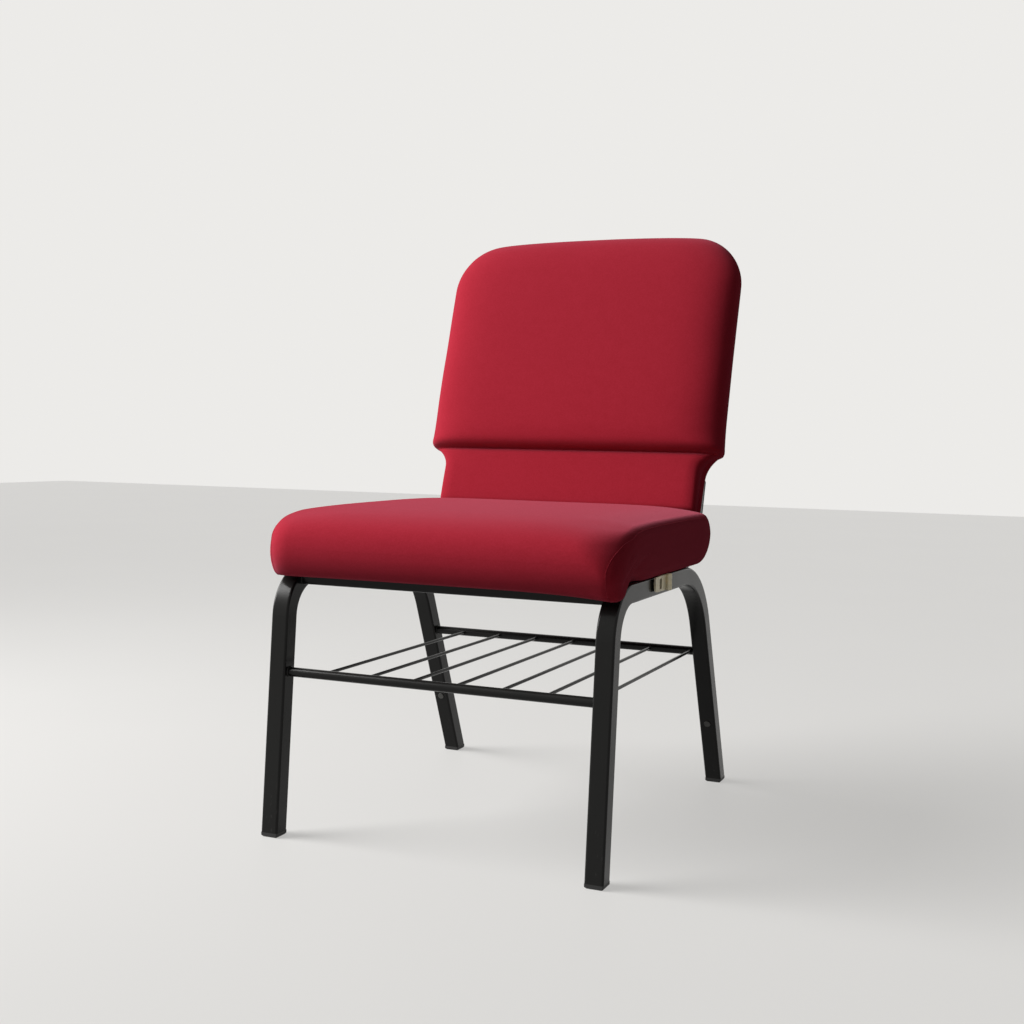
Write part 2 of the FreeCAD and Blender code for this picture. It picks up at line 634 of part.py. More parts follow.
def tee_nut(name, side, rail):
    """One tee nut in the board, its flange up."""
    body = doc.addObject("PartDesign::Body", name)
    top = SEAT_INSIDE + " + board_thickness"
    x = "%d * seat_screw_x" % side
    for diameter, depth in (("nut_flange", "nut_flange_height"), ("nut_barrel", "board_thickness")):
        disc = new_sketch(body, "XY", height=top)
        circle(disc, x, rail, diameter)
        circle(disc, x, rail, "seat_screw + 2 * screw_gap")
        pad(body, disc, depth, backward=True)
    return body


def seat_screw(name, side, rail):
    """One seat screw, from inside its rail up into its tee nut."""
    length = "tube_wall + skin + board_thickness"
    return stud(name, "seat_screw", length, "seat_screw_head", "seat_screw_head_height",
                "%d * seat_screw_x" % side, rail, RAIL_TOP + " - tube_wall", (0, 0, 1), "0")


# Back padding: level slices up the back
def pad_slice(body, height, half, front, rear, front_round, rear_round, swell):
    """One slice across the back: front and rear are distances from the uprights' axis."""
    sketch = new_sketch(body, "XY", height=height)
    low, high = "0 - (%s)" % front, rear
    outline(sketch, [
        ("0 - (%s)" % half, low, front_round),
        ("0", low + " - " + swell, "middle_step * (%s) ^ 2 / (%s)" % (half, swell)),
        (half, low, front_round),
        (half, high, rear_round),
        ("0 - (%s)" % half, high, rear_round),
    ])
    return sketch


def upper_slices(body, inset):
    """The upper pad's slices from its bottom at the crease to its top."""
    foot_front = "(pad_front - %s)" % LOWER_FRONT
    head = "(%s / 2)" % PAD_THICKNESS
    tall = "(pad_top_u - crease_u)"
    rises = ("0", "round_step * pad_foot", "pad_foot", foot_front)
    drops = ["middle_step * " + tall, "pad_corner"] + ["%s * %s" % (share, head) for share in HEAD_STEPS]
    stations = [("crease_u + %s + %s" % (inset, rise), rise, tall, "pad_crown / 2") for rise in rises]
    stations += [("pad_top_u - %s - %s" % (inset, drop), tall, drop, "pad_crown / 2") for drop in drops]
    stations[len(rises)] = stations[len(rises)][:3] + ("pad_crown",)
    slices = []
    for height, rise, drop, swell in stations:
        closing = drawn(head, drop)
        front = "(pad_front - %s - %s - %s)" % (drawn(foot_front, rise), closing, inset)
        rear = "(pad_rear - %s - %s - %s)" % (drawn("pad_foot", rise), closing, inset)
        half = "(pad_half - %s - %s - %s)" % (drawn("pad_foot", rise), drawn("pad_corner", drop), inset)
        rounding = "pad_round * (%s + %s) / %s" % (front, rear, PAD_THICKNESS)
        slices.append(pad_slice(body, height, half, front, rear, rounding, rounding, "(%s)" % swell))
    return slices


def lower_slices(body, inset):
    """The lower back's slices from its bottom to the crease, with the flare of its neck."""
    stations = [("lower_bottom_u + " + inset, "lower_ease", "1"),
                ("lower_bottom_u + lower_ease + " + inset, "0", "1"),
                ("(lower_bottom_u + crease_u) / 2", "0", "1")]
    stations += [("crease_u - %s * neck_height" % step, "0", step) for step in NECK_STEPS]
    slices = []
    for height, ease, step in stations:
        flare = drawn("neck_flare", step + " * neck_flare")
        half = "(lower_half - %s + %s - %s)" % (ease, flare, inset)
        front = "(%s - %s - %s)" % (LOWER_FRONT, ease, inset)
        rear = "0 - (upright_depth / 2 + %s)" % inset
        slices.append(pad_slice(
            body, height, half, front, rear, "lower_corner", "lower_rear_corner", "lower_crown"))
    return slices


def back_neck_wrap():
    """The fabric drawn down behind and round the uprights below the upper pad."""
    body = back_body("back_neck_wrap")
    inner = "(%s + skin)" % INNER_X
    flare = "(pad_half - pad_foot - %s)" % inner
    front = "0 - upright_depth / 2"
    sections = []
    for step in NECK_STEPS:
        half = "(%s + %s)" % (inner, drawn(flare, step + " * " + flare))
        rear = "upright_depth / 2 + skin + %s" % drawn("wrap_swell", step + " * wrap_swell")
        section = new_sketch(body, "XY", height="crease_u - %s * neck_height" % step)
        outline(section, [
            ("0 - " + half, front, "wrap_ease"),
            (half, front, "wrap_ease"),
            (half, rear, "wrap_round"),
            ("0 - " + half, rear, "wrap_round"),
        ])
        sections.append(section)
    loft(body, sections)
    cut_upward(body, upright_rectangles, "crease_u - neck_height - skin", "crease_u + skin")
    return body


def upright_rectangles(sketch):
    """The two uprights' sections."""
    for side in (LEFT, RIGHT):
        ends = sorted((UPRIGHT_INNER, INNER_X), key=lambda x: side * num(x))
        x0, x1 = ["%d * %s" % (side, end) for end in ends]
        rectangle(sketch, x0, "0 - upright_depth / 2", x1, "upright_depth / 2")


def board_rectangle(sketch):
    """The back board's section."""
    rectangle(sketch, "0 - back_board_half", "0 - " + BOARD_FRONT, "back_board_half", "0 - " + BOARD_BACK)


def cut_upward(body, draw, start, end):
    """Cut a drawn section out of a body from one height up the back to another."""
    sketch = new_sketch(body, "XY", height=start)
    draw(sketch)
    pocket(body, sketch, "(%s) - (%s)" % (end, start), along=True)


def back_cover_upper():
    """The upper pad's sewn cover, slotted below for the uprights and the board."""
    body = back_body("back_cover_upper")
    loft(body, upper_slices(body, "0"))
    loft(body, upper_slices(body, "skin"), "SubtractiveLoft")
    cut_upward(body, upright_rectangles, "crease_u - skin", "crease_u + 2 * skin")
    cut_upward(body, board_rectangle, "crease_u - skin", "crease_u + 2 * skin")
    return body


def back_foam_upper():
    """The upper pad's foam, cut for the uprights, the top bar, the board and the upper screws."""
    body = back_body("back_foam_upper")
    loft(body, upper_slices(body, "skin"))
    cut_upward(body, upright_rectangles, "crease_u", "upright_top")
    cut_upward(body, board_rectangle, "crease_u", "back_board_top")
    bar = new_sketch(body, "YZ")
    half = "bar_depth / 2"
    rectangle(bar, "0 - " + half, "top_bar_u - " + half, half, "top_bar_u + " + half)
    pocket(body, bar, "2 * %s" % UPRIGHT_INNER, midplane=True)
    heads = new_sketch(body, "XZ")
    screw_circles(heads, ("top_bar_u",), "back_screw_head + 2 * screw_gap")
    pocket(body, heads, "bar_depth / 2 + back_screw_head_height")
    shanks = new_sketch(body, "XZ")
    screw_circles(shanks, ("top_bar_u",), "back_screw + 2 * screw_gap")
    pocket(body, shanks, BOARD_BACK, along=True)
    return body


def back_cover_lower():
    """The lower back's sewn cover, open at the crease, pierced by the lower screws."""
    body = back_body("back_cover_lower")
    loft(body, lower_slices(body, "0"))
    loft(body, lower_slices(body, "skin"), "SubtractiveLoft")
    holes = new_sketch(body, "XZ")
    screw_circles(holes, ("lower_bar_u",), "back_screw + 2 * screw_gap")
    pocket(body, holes, BOARD_FRONT, along=True)
    return body


def back_foam_lower():
    """The lower back's foam in front of the board."""
    body = back_body("back_foam_lower")
    loft(body, lower_slices(body, "skin"))
    cut_upward(body, board_rectangle, BOARD_LOW, "crease_u + skin")
    return body


def back_board():
    """The board that both pads are built on, with pilot holes for the screws."""
    body = back_body("back_board")
    plan = new_sketch(body, "XZ", height=BOARD_BACK)
    rectangle(plan, "0 - back_board_half", BOARD_LOW, "back_board_half", "back_board_top")
    pad(body, plan, "back_board_thickness")
    holes = new_sketch(body, "XZ", height=BOARD_FRONT)
    screw_circles(holes, ("lower_bar_u", "top_bar_u"), "back_screw + 2 * screw_gap")
    pocket(body, holes, "back_board_thickness")
    return body


def back_outer_panel():
    """The panel that closes the lower back from behind."""
    body = back_body("back_outer_panel")
    plan = new_sketch(body, "XZ", height="0 - upright_depth / 2")
    top = "crease_u - neck_height - panel_gap"
    rectangle(plan, "0 - " + INNER_X, "lower_bottom_u", INNER_X, top, "tube_corner")
    pad(body, plan, "panel_thickness", backward=True)
    holes = new_sketch(body, "XZ", height="0 - upright_depth / 2")
    screw_circles(holes, ("lower_bar_u",), "back_screw + 2 * screw_gap")
    pocket(body, holes, "panel_thickness")
    return body


def back_screw(name, side, height, seat):
    """One back screw, forward from the rear face that it bears on into the board."""
    lean = {"sin": "sin(recline)", "cos": "cos(recline)", "u": height, "w": "(bar_depth / 2 + %s)" % seat}
    y = "back_root_y + {u} * {sin} + {w} * {cos}".format(**lean)
    z = "rail_z + {u} * {cos} - {w} * {sin}".format(**lean)
    length = "bar_depth / 2 + %s + %s" % (seat, BOARD_FRONT)
    return stud(name, "back_screw", length, "back_screw_head", "back_screw_head_height",
                "%d * back_screw_x" % side, y, z, (1, 0, 0), "90 - recline")


# Book rack: two bars between the legs and wires welded between them
def rack_bar(label, y):
    """A round bar between two legs."""
    body = new_body(label)
    section = new_sketch(body, "YZ")
    circle(section, y, "rack_z", "rack_bar")
    pad(body, section, "2 * %s" % INNER_X, midplane=True)
    return body


def rack_wire(index):
    """One wire from bar axis to bar axis."""
    wire = doc.addObject("Part::Cylinder", "rack_wire_%d" % index)
    wire.Placement = FreeCAD.Placement(FreeCAD.Vector(), FreeCAD.Rotation(FreeCAD.Vector(-1, 0, 0), 90))
    wire.setExpression("Radius", ex("rack_wire / 2"))
    wire.setExpression("Height", ex("%s - %s" % (REAR_BAR_Y, FRONT_BAR_Y)))
    place(wire, "rack_wire_first + %d * rack_wire_pitch" % index, FRONT_BAR_Y, "rack_z")
    return wire


def rack_wires(bars, count):
    """All the wires, their ends shaped to the bars that they are welded to."""
    made = doc.addObject("Part::Cut", "rack_wires")
    made.Label = "rack_wires"
    made.Base = group("rack_wire_runs", [rack_wire(index) for index in range(count)])
    made.Tool = group("rack_bar_pair", bars)
    doc.recompute()
    return made


# Gang hinge on the left rail: bracket, pin and swinging link
def knuckle(body, low, high):
    """A knuckle about the hinge axis between two heights, not yet bored."""
    ring = new_sketch(body, "XY", height=low)
    circle(ring, LINK_X, "link_axis_y", "knuckle")
    pad(body, ring, "(%s) - (%s)" % (high, low))


def bore(body):
    """The hinge pin's running bore."""
    hole = new_sketch(body, "XY", height="link_z + link_height")
    circle(hole, LINK_X, "link_axis_y", "hinge_pin + 2 * hinge_fit")
    pocket(body, hole, "2 * link_height")


def rivet_circles(sketch, first, diameter, z="link_z"):
    """Circles at two rivets along the rail, ahead of the hinge axis."""
    for order in (0, 1):
        circle(sketch, "link_axis_y - %s - %d * rivet_pitch" % (first, order), z, diameter)


def gang_hinge_bracket():
    """The bracket on the rail, with a knuckle above and below the link's own."""
    body = new_body("gang_hinge_bracket")
    plate = new_sketch(body, "YZ", height="frame_width / 2")
    rectangle(plate, "link_axis_y - bracket_length", LINK_LOW,
              "link_axis_y + knuckle / 2", LINK_HIGH, "link_ease")
    pad(body, plate, "bracket_plate")
    inner = "(hinge_share / 2 + hinge_gap)"
    for low, high in ((LINK_LOW, "link_z - " + inner), ("link_z + " + inner, LINK_HIGH)):
        neck = new_sketch(body, "XY", height=low)
        rectangle(neck, "frame_width / 2", "link_axis_y - knuckle / 2", LINK_X, "link_axis_y + knuckle / 2")
        pad(body, neck, "(%s) - (%s)" % (high, low))
        knuckle(body, low, high)
    bore(body)
    holes = new_sketch(body, "YZ", height="frame_width / 2 + bracket_plate")
    rivet_circles(holes, "rivet_first", "rivet + 2 * rivet_gap")
    pocket(body, holes, "bracket_plate")
    return body


def gang_link():
    """The slotted plate that swings out to the next chair."""
    body = new_body("gang_link")
    shoulder = "link_axis_y - knuckle / 2 - 3 * hinge_gap"
    tip = "link_axis_y - link_length"
    plate = new_sketch(body, "YZ", height="frame_width / 2 + bracket_plate + hinge_gap")
    outline(plate, [
        (tip, LINK_LOW, "link_corner"),
        (shoulder, LINK_LOW, None),
        (shoulder, "link_z - hinge_share / 2", None),
        ("link_axis_y", "link_z - hinge_share / 2", None),
        ("link_axis_y", "link_z + hinge_share / 2", None),
        (shoulder, "link_z + hinge_share / 2", None),
        (shoulder, LINK_HIGH, None),
        (tip, LINK_HIGH, "link_ease"),
    ])
    pad(body, plate, "link_plate")
    knuckle(body, "link_z - hinge_share / 2", "link_z + hinge_share / 2")
    bore(body)
    slot = new_sketch(body, "YZ", height="frame_width / 2 + bracket_plate + hinge_gap + link_plate")
    rectangle(slot, "link_axis_y - link_slot_from - link_slot_width", LINK_LOW + " + link_slot_margin",
              "link_axis_y - link_slot_from", LINK_HIGH + " - link_slot_margin", "link_ease")
    pocket(body, slot, "2 * link_plate")
    return body


def gang_hinge_pin():
    """The hinge pin, headed at both ends."""
    body = new_body("gang_hinge_pin")
    parts = ((LINK_LOW, "hinge_pin", "link_height"), (LINK_HIGH, "pin_head", "pin_head_height"),
             (LINK_LOW + " - pin_head_height", "pin_head", "pin_head_height"))
    for start, diameter, length in parts:
        disc = new_sketch(body, "XY", height=start)
        circle(disc, LINK_X, "link_axis_y", diameter)
        pad(body, disc, length)
    return body


# Gang hook on the right rail
def gang_hook():
    """The fixed hook: a base on the rail, an arm out from it and a tongue towards the front."""
    body = new_body("gang_hook")
    rear = "link_axis_y + hook_tongue"
    plate = new_sketch(body, "YZ", height="0 - frame_width / 2")
    rectangle(plate, rear + " - hook_length", LINK_LOW, rear, LINK_HIGH, "link_ease")
    pad(body, plate, "bracket_plate", backward=True)
    face = "0 - frame_width / 2 - bracket_plate"
    profile = new_sketch(body, "XY", height="link_z")
    outline(profile, [
        (face, rear + " - link_plate", None),
        (face, rear, None),
        (face + " - hook_reach", rear, "link_plate + tube_wall"),
        (face + " - hook_reach", rear + " - hook_tongue", None),
        (face + " - hook_reach + link_plate", rear + " - hook_tongue", None),
        (face + " - hook_reach + link_plate", rear + " - link_plate", "tube_wall"),
    ])
    pad(body, profile, "hook_height", midplane=True)
    holes = new_sketch(body, "YZ", height="0 - frame_width / 2")
    rivet_circles(holes, HOOK_RIVET, "rivet + 2 * rivet_gap")
    pocket(body, holes, "bracket_plate")
    return body


def rivet(name, side, first, order):
    """One flush rivet through a plate on a rail's outer face."""
    made = doc.addObject("Part::Cylinder", name)
    turn = FreeCAD.Rotation(FreeCAD.Vector(0, 1, 0), 90)
    made.Placement = FreeCAD.Placement(FreeCAD.Vector(), turn)
    made.setExpression("Radius", ex("rivet / 2"))
    made.setExpression("Height", ex("bracket_plate"))
    start = "frame_width / 2" if side == LEFT else "0 - frame_width / 2 - bracket_plate"
    place(made, start, "link_axis_y - %s - %d * rivet_pitch" % (first, order), "link_z")
    return made


pieces = [
    leg_frame("leg_frame_left", LEFT),
    leg_frame("leg_frame_right", RIGHT),
    cross_rail("front_rail", "front_rail_y"),
    cross_rail("rear_rail", "rear_rail_y"),
]
for name, side in (("left", LEFT), ("right", RIGHT)):
    pieces.append(glide("glide_front_" + name, side, "front_foot_y", "front_rake"))
    pieces.append(glide("glide_rear_" + name, side, "rear_foot_y", "0 - rear_rake"))
pieces += [
    group("leg_plugs", [leg_plug("leg_plug_left", LEFT), leg_plug("leg_plug_right", RIGHT)]),
    back_upright("back_upright_left", LEFT),
    back_upright("back_upright_right", RIGHT),
    back_bar("back_lower_bar", "lower_bar_u"),
    back_bar("back_top_bar", "top_bar_u"),
    seat_board(),
    seat_foam(),
    seat_cover(),
    seat_dust_cover(),
]
SEAT_FIXINGS = [(side, rail) for rail in ("front_rail_y", "rear_rail_y") for side in (LEFT, RIGHT)]
pieces += [
    group("seat_tee_nuts", [tee_nut("tee_nut_%d" % i, *at) for i, at in enumerate(SEAT_FIXINGS)]),
    group("seat_screws", [seat_screw("seat_screw_%d" % i, *at) for i, at in enumerate(SEAT_FIXINGS)]),
    back_board(),
    back_foam_lower(),
    back_foam_upper(),
    back_cover_lower(),
    back_cover_upper(),
    back_neck_wrap(),
    back_outer_panel(),
]
rack_bars = [rack_bar("rack_front_bar", FRONT_BAR_Y), rack_bar("rack_rear_bar", REAR_BAR_Y)]
pieces += rack_bars
BACK_SEATS = (("lower_bar_u", "panel_thickness"), ("top_bar_u", "0"))
BACK_FIXINGS = [(side, height, seat) for height, seat in BACK_SEATS for side in (LEFT, RIGHT)]
pieces += [
    group("back_screws", [back_screw("back_screw_%d" % i, *at) for i, at in enumerate(BACK_FIXINGS)]),
    rack_wires(rack_bars, int(num("rack_wire_count"))),
    gang_hinge_bracket(),
    gang_link(),
    gang_hinge_pin(),
    group("gang_rivets", [rivet("gang_rivet_%d" % i, LEFT, "rivet_first", i) for i in (0, 1)]),
    gang_hook(),
]
hook_rivets = [rivet("hook_rivet_%d" % i, RIGHT, HOOK_RIVET, i) for i in (0, 1)]
pieces.append(group("gang_hook_rivets", hook_rivets))
doc.recompute()

# Every object solved and every piece a sound solid before anything is written
for thing in doc.Objects:
    if "Invalid" in thing.State or "Error" in thing.State:
        raise RuntimeError("%s failed: %s" % (thing.Label, thing.State))
for piece in pieces:
    if piece.Shape.isNull() or not piece.Shape.isValid() or not piece.Shape.Solids:
        raise RuntimeError("%s has no sound solid" % piece.Label)

os.makedirs("parts", exist_ok=True)
for piece in pieces:
    piece.Shape.exportStep("parts/%s.step" % piece.Label)
    box = piece.Shape.BoundBox
    print("%-20s %d solids %10.1f mm3  x %.1f..%.1f  y %.1f..%.1f  z %.1f..%.1f" % (
        piece.Label, len(piece.Shape.Solids), piece.Shape.Volume,
        box.XMin, box.XMax, box.YMin, box.YMax, box.ZMin, box.ZMax))
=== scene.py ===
import logging
import math
from dataclasses import dataclass
from enum import Enum

import bmesh
import bpy
import numpy as np
from mathutils import Matrix, Vector


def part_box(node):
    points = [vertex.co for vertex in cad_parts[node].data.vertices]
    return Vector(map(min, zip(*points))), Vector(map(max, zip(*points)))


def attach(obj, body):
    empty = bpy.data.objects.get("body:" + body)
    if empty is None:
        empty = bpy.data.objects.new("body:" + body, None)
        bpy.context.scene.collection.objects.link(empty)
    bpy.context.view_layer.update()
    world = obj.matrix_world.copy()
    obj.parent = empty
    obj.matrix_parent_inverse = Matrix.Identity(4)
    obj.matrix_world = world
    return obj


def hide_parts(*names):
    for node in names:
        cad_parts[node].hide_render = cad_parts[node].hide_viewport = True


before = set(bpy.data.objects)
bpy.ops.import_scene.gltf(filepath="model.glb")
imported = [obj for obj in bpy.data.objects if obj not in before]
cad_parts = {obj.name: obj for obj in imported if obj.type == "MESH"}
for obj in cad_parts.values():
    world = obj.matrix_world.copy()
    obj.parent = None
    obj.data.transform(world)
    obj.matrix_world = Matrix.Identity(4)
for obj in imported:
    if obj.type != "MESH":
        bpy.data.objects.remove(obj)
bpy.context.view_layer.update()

# Stacking conference chair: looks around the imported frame.
# Sizes are in millimetres unless a name says otherwise.
MM = 0.001
CHAIR = "chair"
LOG = logging.getLogger("chair")

Colour = tuple[float, float, float]
Point = tuple[float, float, float]
Span = tuple[float, float]
Profile = tuple[Span, ...]
Piece = bpy.types.Object
Material = bpy.types.Material
Socket = bpy.types.NodeSocket

# Samples that a curve takes per point before it is read at equal steps.
CURVE_SAMPLES = 60
# Points of one mesh that lie closer than this, in metres, are the same.
SAME_PLACE_M = 1e-6
# Where most values of a noise lie.
NOISE_MIDDLE: Span = (0.3, 0.7)


class Coordinates(Enum):
    """Where a finish reads its pattern from."""

    OBJECT = "Object"
    SURFACE = "UV"


class Axis(Enum):
    """An axis of the frame, by its place among the coordinates."""

    X = 0
    Y = 1
    Z = 2


class Side(Enum):
    """The sitter's left and right, as signs along X."""

    LEFT = 1
    RIGHT = -1


def ease(share: np.ndarray) -> np.ndarray:
    """Smooth step: 3 t^2 - 2 t^3 of the share, held between 0 and 1."""
    held = np.clip(share, 0.0, 1.0)
    return held * held * (3.0 - 2.0 * held)


def rise(value: np.ndarray, start: float, end: float) -> np.ndarray:
    """Smooth step of a value from 0 at its start to 1 at its end, which may be the lower of the two."""
    return ease((value - start) / (end - start))


def draw_in(radius: float, distance: np.ndarray) -> np.ndarray:
    """Draw-in of a quarter round at a distance from its outer end: r (1 - sqrt(1 - (1 - d / r)^2))."""
    share = np.clip(1.0 - distance / radius, 0.0, 1.0)
    return radius * (1.0 - np.sqrt(1.0 - share * share))


def spline(points: np.ndarray, count: int) -> np.ndarray:
    """Catmull-Rom curve through points, sampled evenly along its length.

    Each span blends its four nearest points with the usual cubic weights, and the dense result is read again
    at equal steps of arc length.

    Args:
        points: control points, one per row.
        count: number of samples.

    Returns:
        The samples, one per row.
    """
    control = np.vstack([points[:1], points, points[-1:]])
    place = np.linspace(0.0, len(points) - 1.0, CURVE_SAMPLES * len(points))
    start = np.minimum(place.astype(int), len(points) - 2)
    t = (place - start)[:, None]
    a, b, c, d = (control[start + k] for k in range(4))
    dense = 0.5 * (2 * b + (c - a) * t + (2 * a - 5 * b + 4 * c - d) * t**2 + (3 * b - a - 3 * c + d) * t**3)
    length = run_length(dense)
    even = np.linspace(0.0, length[-1], count)
    return np.stack([np.interp(even, length, dense[:, k]) for k in range(dense.shape[1])], axis=1)


def run_length(points: np.ndarray) -> np.ndarray:
    """Length along a line of points, from its start to each of them."""
    return np.concatenate([[0.0], np.cumsum(np.linalg.norm(np.diff(points, axis=0), axis=1))])


def round_length(points: np.ndarray) -> np.ndarray:
    """Length round a closed line of points, with the closing one at the end."""
    return run_length(np.concatenate([points, points[:1]]))


def grid_faces(rows: int, columns: int, round_columns: bool = False) -> np.ndarray:
    """Corner indices of the quads of a grid of points.

    Args:
        rows: number of rows of points.
        columns: number of points in a row.
        round_columns: whether the last column joins the first.

    Returns:
        An array of four indices per quad.
    """
    row = np.arange(rows - 1)[:, None] * columns
    first = np.arange(columns if round_columns else columns - 1)[None, :]
    second = (first + 1) % columns
    quads = np.stack([row + first, row + second, row + columns + second, row + columns + first], axis=-1)
    return quads.reshape(-1, 4)


def surface(name: str, points: np.ndarray, faces: np.ndarray, finish: Material) -> Piece:
    """A smooth mesh piece at the origin from points in millimetres.

    Args:
        name: the piece's name.
        points: places, one per row.
        faces: corner indices, one quad per row.
        finish: the piece's material.

    Returns:
        The new object, linked to the scene.
    """
    mesh = bpy.data.meshes.new(name)
    mesh.from_pydata((points.reshape(-1, 3) * MM).tolist(), [], faces.tolist())
    mesh.polygons.foreach_set("use_smooth", np.ones(len(mesh.polygons), bool))
    mesh.materials.append(finish)
    mesh.update()
    piece = bpy.data.objects.new(name, mesh)
    bpy.context.scene.collection.objects.link(piece)
    return piece


def turn_outwards(piece: Piece, merge: bool = False) -> None:
    """Turn every face of a closed piece outwards.

    Args:
        piece: the piece.
        merge: whether points that coincide are joined first.
    """
    shell = bmesh.new()
    shell.from_mesh(piece.data)
    if merge:
        bmesh.ops.remove_doubles(shell, verts=shell.verts, dist=SAME_PLACE_M)
    bmesh.ops.recalc_face_normals(shell, faces=shell.faces)
    shell.to_mesh(piece.data)
    shell.free()


class Cover:
    """A closed cover from a grid whose columns run round it and whose end rows fold shut on themselves.

    Points that round to the same multiple of the weld distance, in millimetres, are shared.
    """

    weld: float = 0.02

    def __init__(self, name: str, grid: np.ndarray, across: np.ndarray, along: np.ndarray,
                 finish: Material) -> None:
        """Make the cover's mesh, its coinciding points shared, with a UV map in metres.

        Args:
            name: the piece's name.
            grid: points in millimetres by row and column.
            across: distance round each column and the closing one, in millimetres.
            along: distance of each row, in millimetres.
            finish: the cover's material.
        """
        self.shape = grid.shape
        rows, columns = grid.shape[:2]
        quads = grid_faces(rows, columns, True)
        keys = np.round(grid.reshape(-1, 3) / self.weld).astype(np.int64)
        _, self.first, index = np.unique(keys, axis=0, return_index=True, return_inverse=True)
        self.index = index.ravel()
        self.piece = surface(name, grid.reshape(-1, 3)[self.first], self.index[quads], finish)
        row, column = quads // columns, quads % columns
        # Corners 1 and 2 of a quad lie in the next column, which after the last one is column 0 again.
        closing = (column == 0) & np.isin(np.arange(4), (1, 2))[None, :]
        u = np.where(closing, across[-1], across[column])
        layer = self.piece.data.uv_layers.new(name="weave")
        layer.data.foreach_set("uv", np.stack([u, along[row]], axis=-1).ravel().astype(np.float32) * MM)
        turn_outwards(self.piece)

    def places(self) -> np.ndarray:
        """Read the points back from the mesh.

        Returns:
            The grid as it lies now, in millimetres.
        """
        now = np.zeros(len(self.piece.data.vertices) * 3, np.float32)
        self.piece.data.vertices.foreach_get("co", now)
        return now.reshape(-1, 3)[self.index].reshape(self.shape).astype(float) / MM


def subdivide(piece: Piece, levels: int = 1) -> None:
    """Finish a piece with a live subdivision, the same in view and render."""
    step = piece.modifiers.new("smooth", "SUBSURF")
    step.levels = step.render_levels = levels


def tube(path: np.ndarray, radius: np.ndarray, around: int = 8,
         helper: Point = (0.31, 0.23, 0.92)) -> tuple[np.ndarray, np.ndarray]:
    """A round profile carried along an open path.

    The frame at each point is the path's direction, a side square to it and to a fixed helper, and their
    product; the profile is centre + r (cos a side + sin a product). Both ends shrink to nothing.

    Args:
        path: centres in millimetres, one per row.
        radius: radius at each centre.
        around: points round the profile.
        helper: a direction that the path never takes.

    Returns:
        The points and the quads.
    """
    ahead = np.gradient(path, axis=0)
    ahead /= np.linalg.norm(ahead, axis=1, keepdims=True)
    side = np.cross(ahead, np.array(helper))
    side /= np.linalg.norm(side, axis=1, keepdims=True)
    other = np.cross(ahead, side)
    angle = np.linspace(0.0, 2.0 * math.pi, around, endpoint=False)
    ends = np.ones(len(path))
    ends[[0, -1]] = 0.0
    size = (radius * ends)[:, None, None]
    ring = np.cos(angle)[None, :, None] * side[:, None, :] + np.sin(angle)[None, :, None] * other[:, None, :]
    return path[:, None, :] + size * ring, grid_faces(len(path), around, True)


@dataclass(frozen=True)
class Cushioning:
    """How a padded cover swells under its foam."""

    pressure: float = 4.0
    stretch: float = 6.0
    bending: float = 12.0
    quality: int = 5
    frames: int = 20
    pin_steps: int = 10
    cap: float = 2.0
    still_m: float = 1e-9
    evening: int = 48

    def even(self, field: np.ndarray) -> np.ndarray:
        """Smooth a cover's movements.

        Each point takes half of its own movement and an eighth of each of its four neighbours', repeatedly.

        Args:
            field: movements by row and column.

        Returns:
            The smoothed movements.
        """
        for _ in range(self.evening):
            rows = np.concatenate([field[:1], field, field[-1:]])
            round_about = np.roll(field, 1, axis=1) + np.roll(field, -1, axis=1)
            field = (4.0 * field + rows[:-2] + rows[2:] + round_about) / 8.0
        return field

    def swell(self, cover: Cover, held: np.ndarray) -> None:
        """Swell a cover as cloth under pressure and keep the result in its mesh.

        Every point goes to its simulated place, or as far towards it as the cap allows.

        Args:
            cover: the cover, without modifiers.
            held: how firmly each point of its grid is held, from 0 to 1.
        """
        piece, held = cover.piece, held.ravel()[cover.first]
        count = len(piece.data.vertices)
        rest = np.zeros(count * 3, np.float32)
        piece.data.vertices.foreach_get("co", rest)
        rest = rest.reshape(-1, 3)
        pins = piece.vertex_groups.new(name="pins")
        steps = np.round(np.clip(held, 0.0, 1.0) * self.pin_steps).astype(int)
        for step in np.unique(steps[steps > 0]):
            pins.add(np.nonzero(steps == step)[0].tolist(), step / self.pin_steps, "REPLACE")
        cloth = piece.modifiers.new("swell", "CLOTH")
        cloth.settings.quality = self.quality
        cloth.settings.tension_stiffness = cloth.settings.compression_stiffness = self.stretch
        cloth.settings.bending_stiffness = self.bending
        cloth.settings.vertex_group_mass = pins.name
        cloth.settings.use_pressure = True
        cloth.settings.uniform_pressure_force = self.pressure
        cloth.settings.effector_weights.gravity = 0.0
        cloth.collision_settings.use_collision = False
        cloth.point_cache.frame_end = self.frames
        for number in range(1, self.frames + 1):
            bpy.context.scene.frame_set(number)
        moved = np.zeros(count * 3, np.float32)
        shown = piece.evaluated_get(bpy.context.evaluated_depsgraph_get())
        shown.data.vertices.foreach_get("co", moved)
        step = moved.reshape(-1, 3) - rest
        length = np.linalg.norm(step, axis=1, keepdims=True)
        step *= np.minimum(1.0, self.cap * MM / np.maximum(length, self.still_m))
        step = self.even(step[cover.index].reshape(cover.shape)).reshape(-1, 3)[cover.first]
        piece.modifiers.remove(cloth)
        piece.vertex_groups.remove(pins)
        piece.data.vertices.foreach_set("co", (rest + step).ravel())
        piece.data.update()
        bpy.context.scene.frame_set(1)


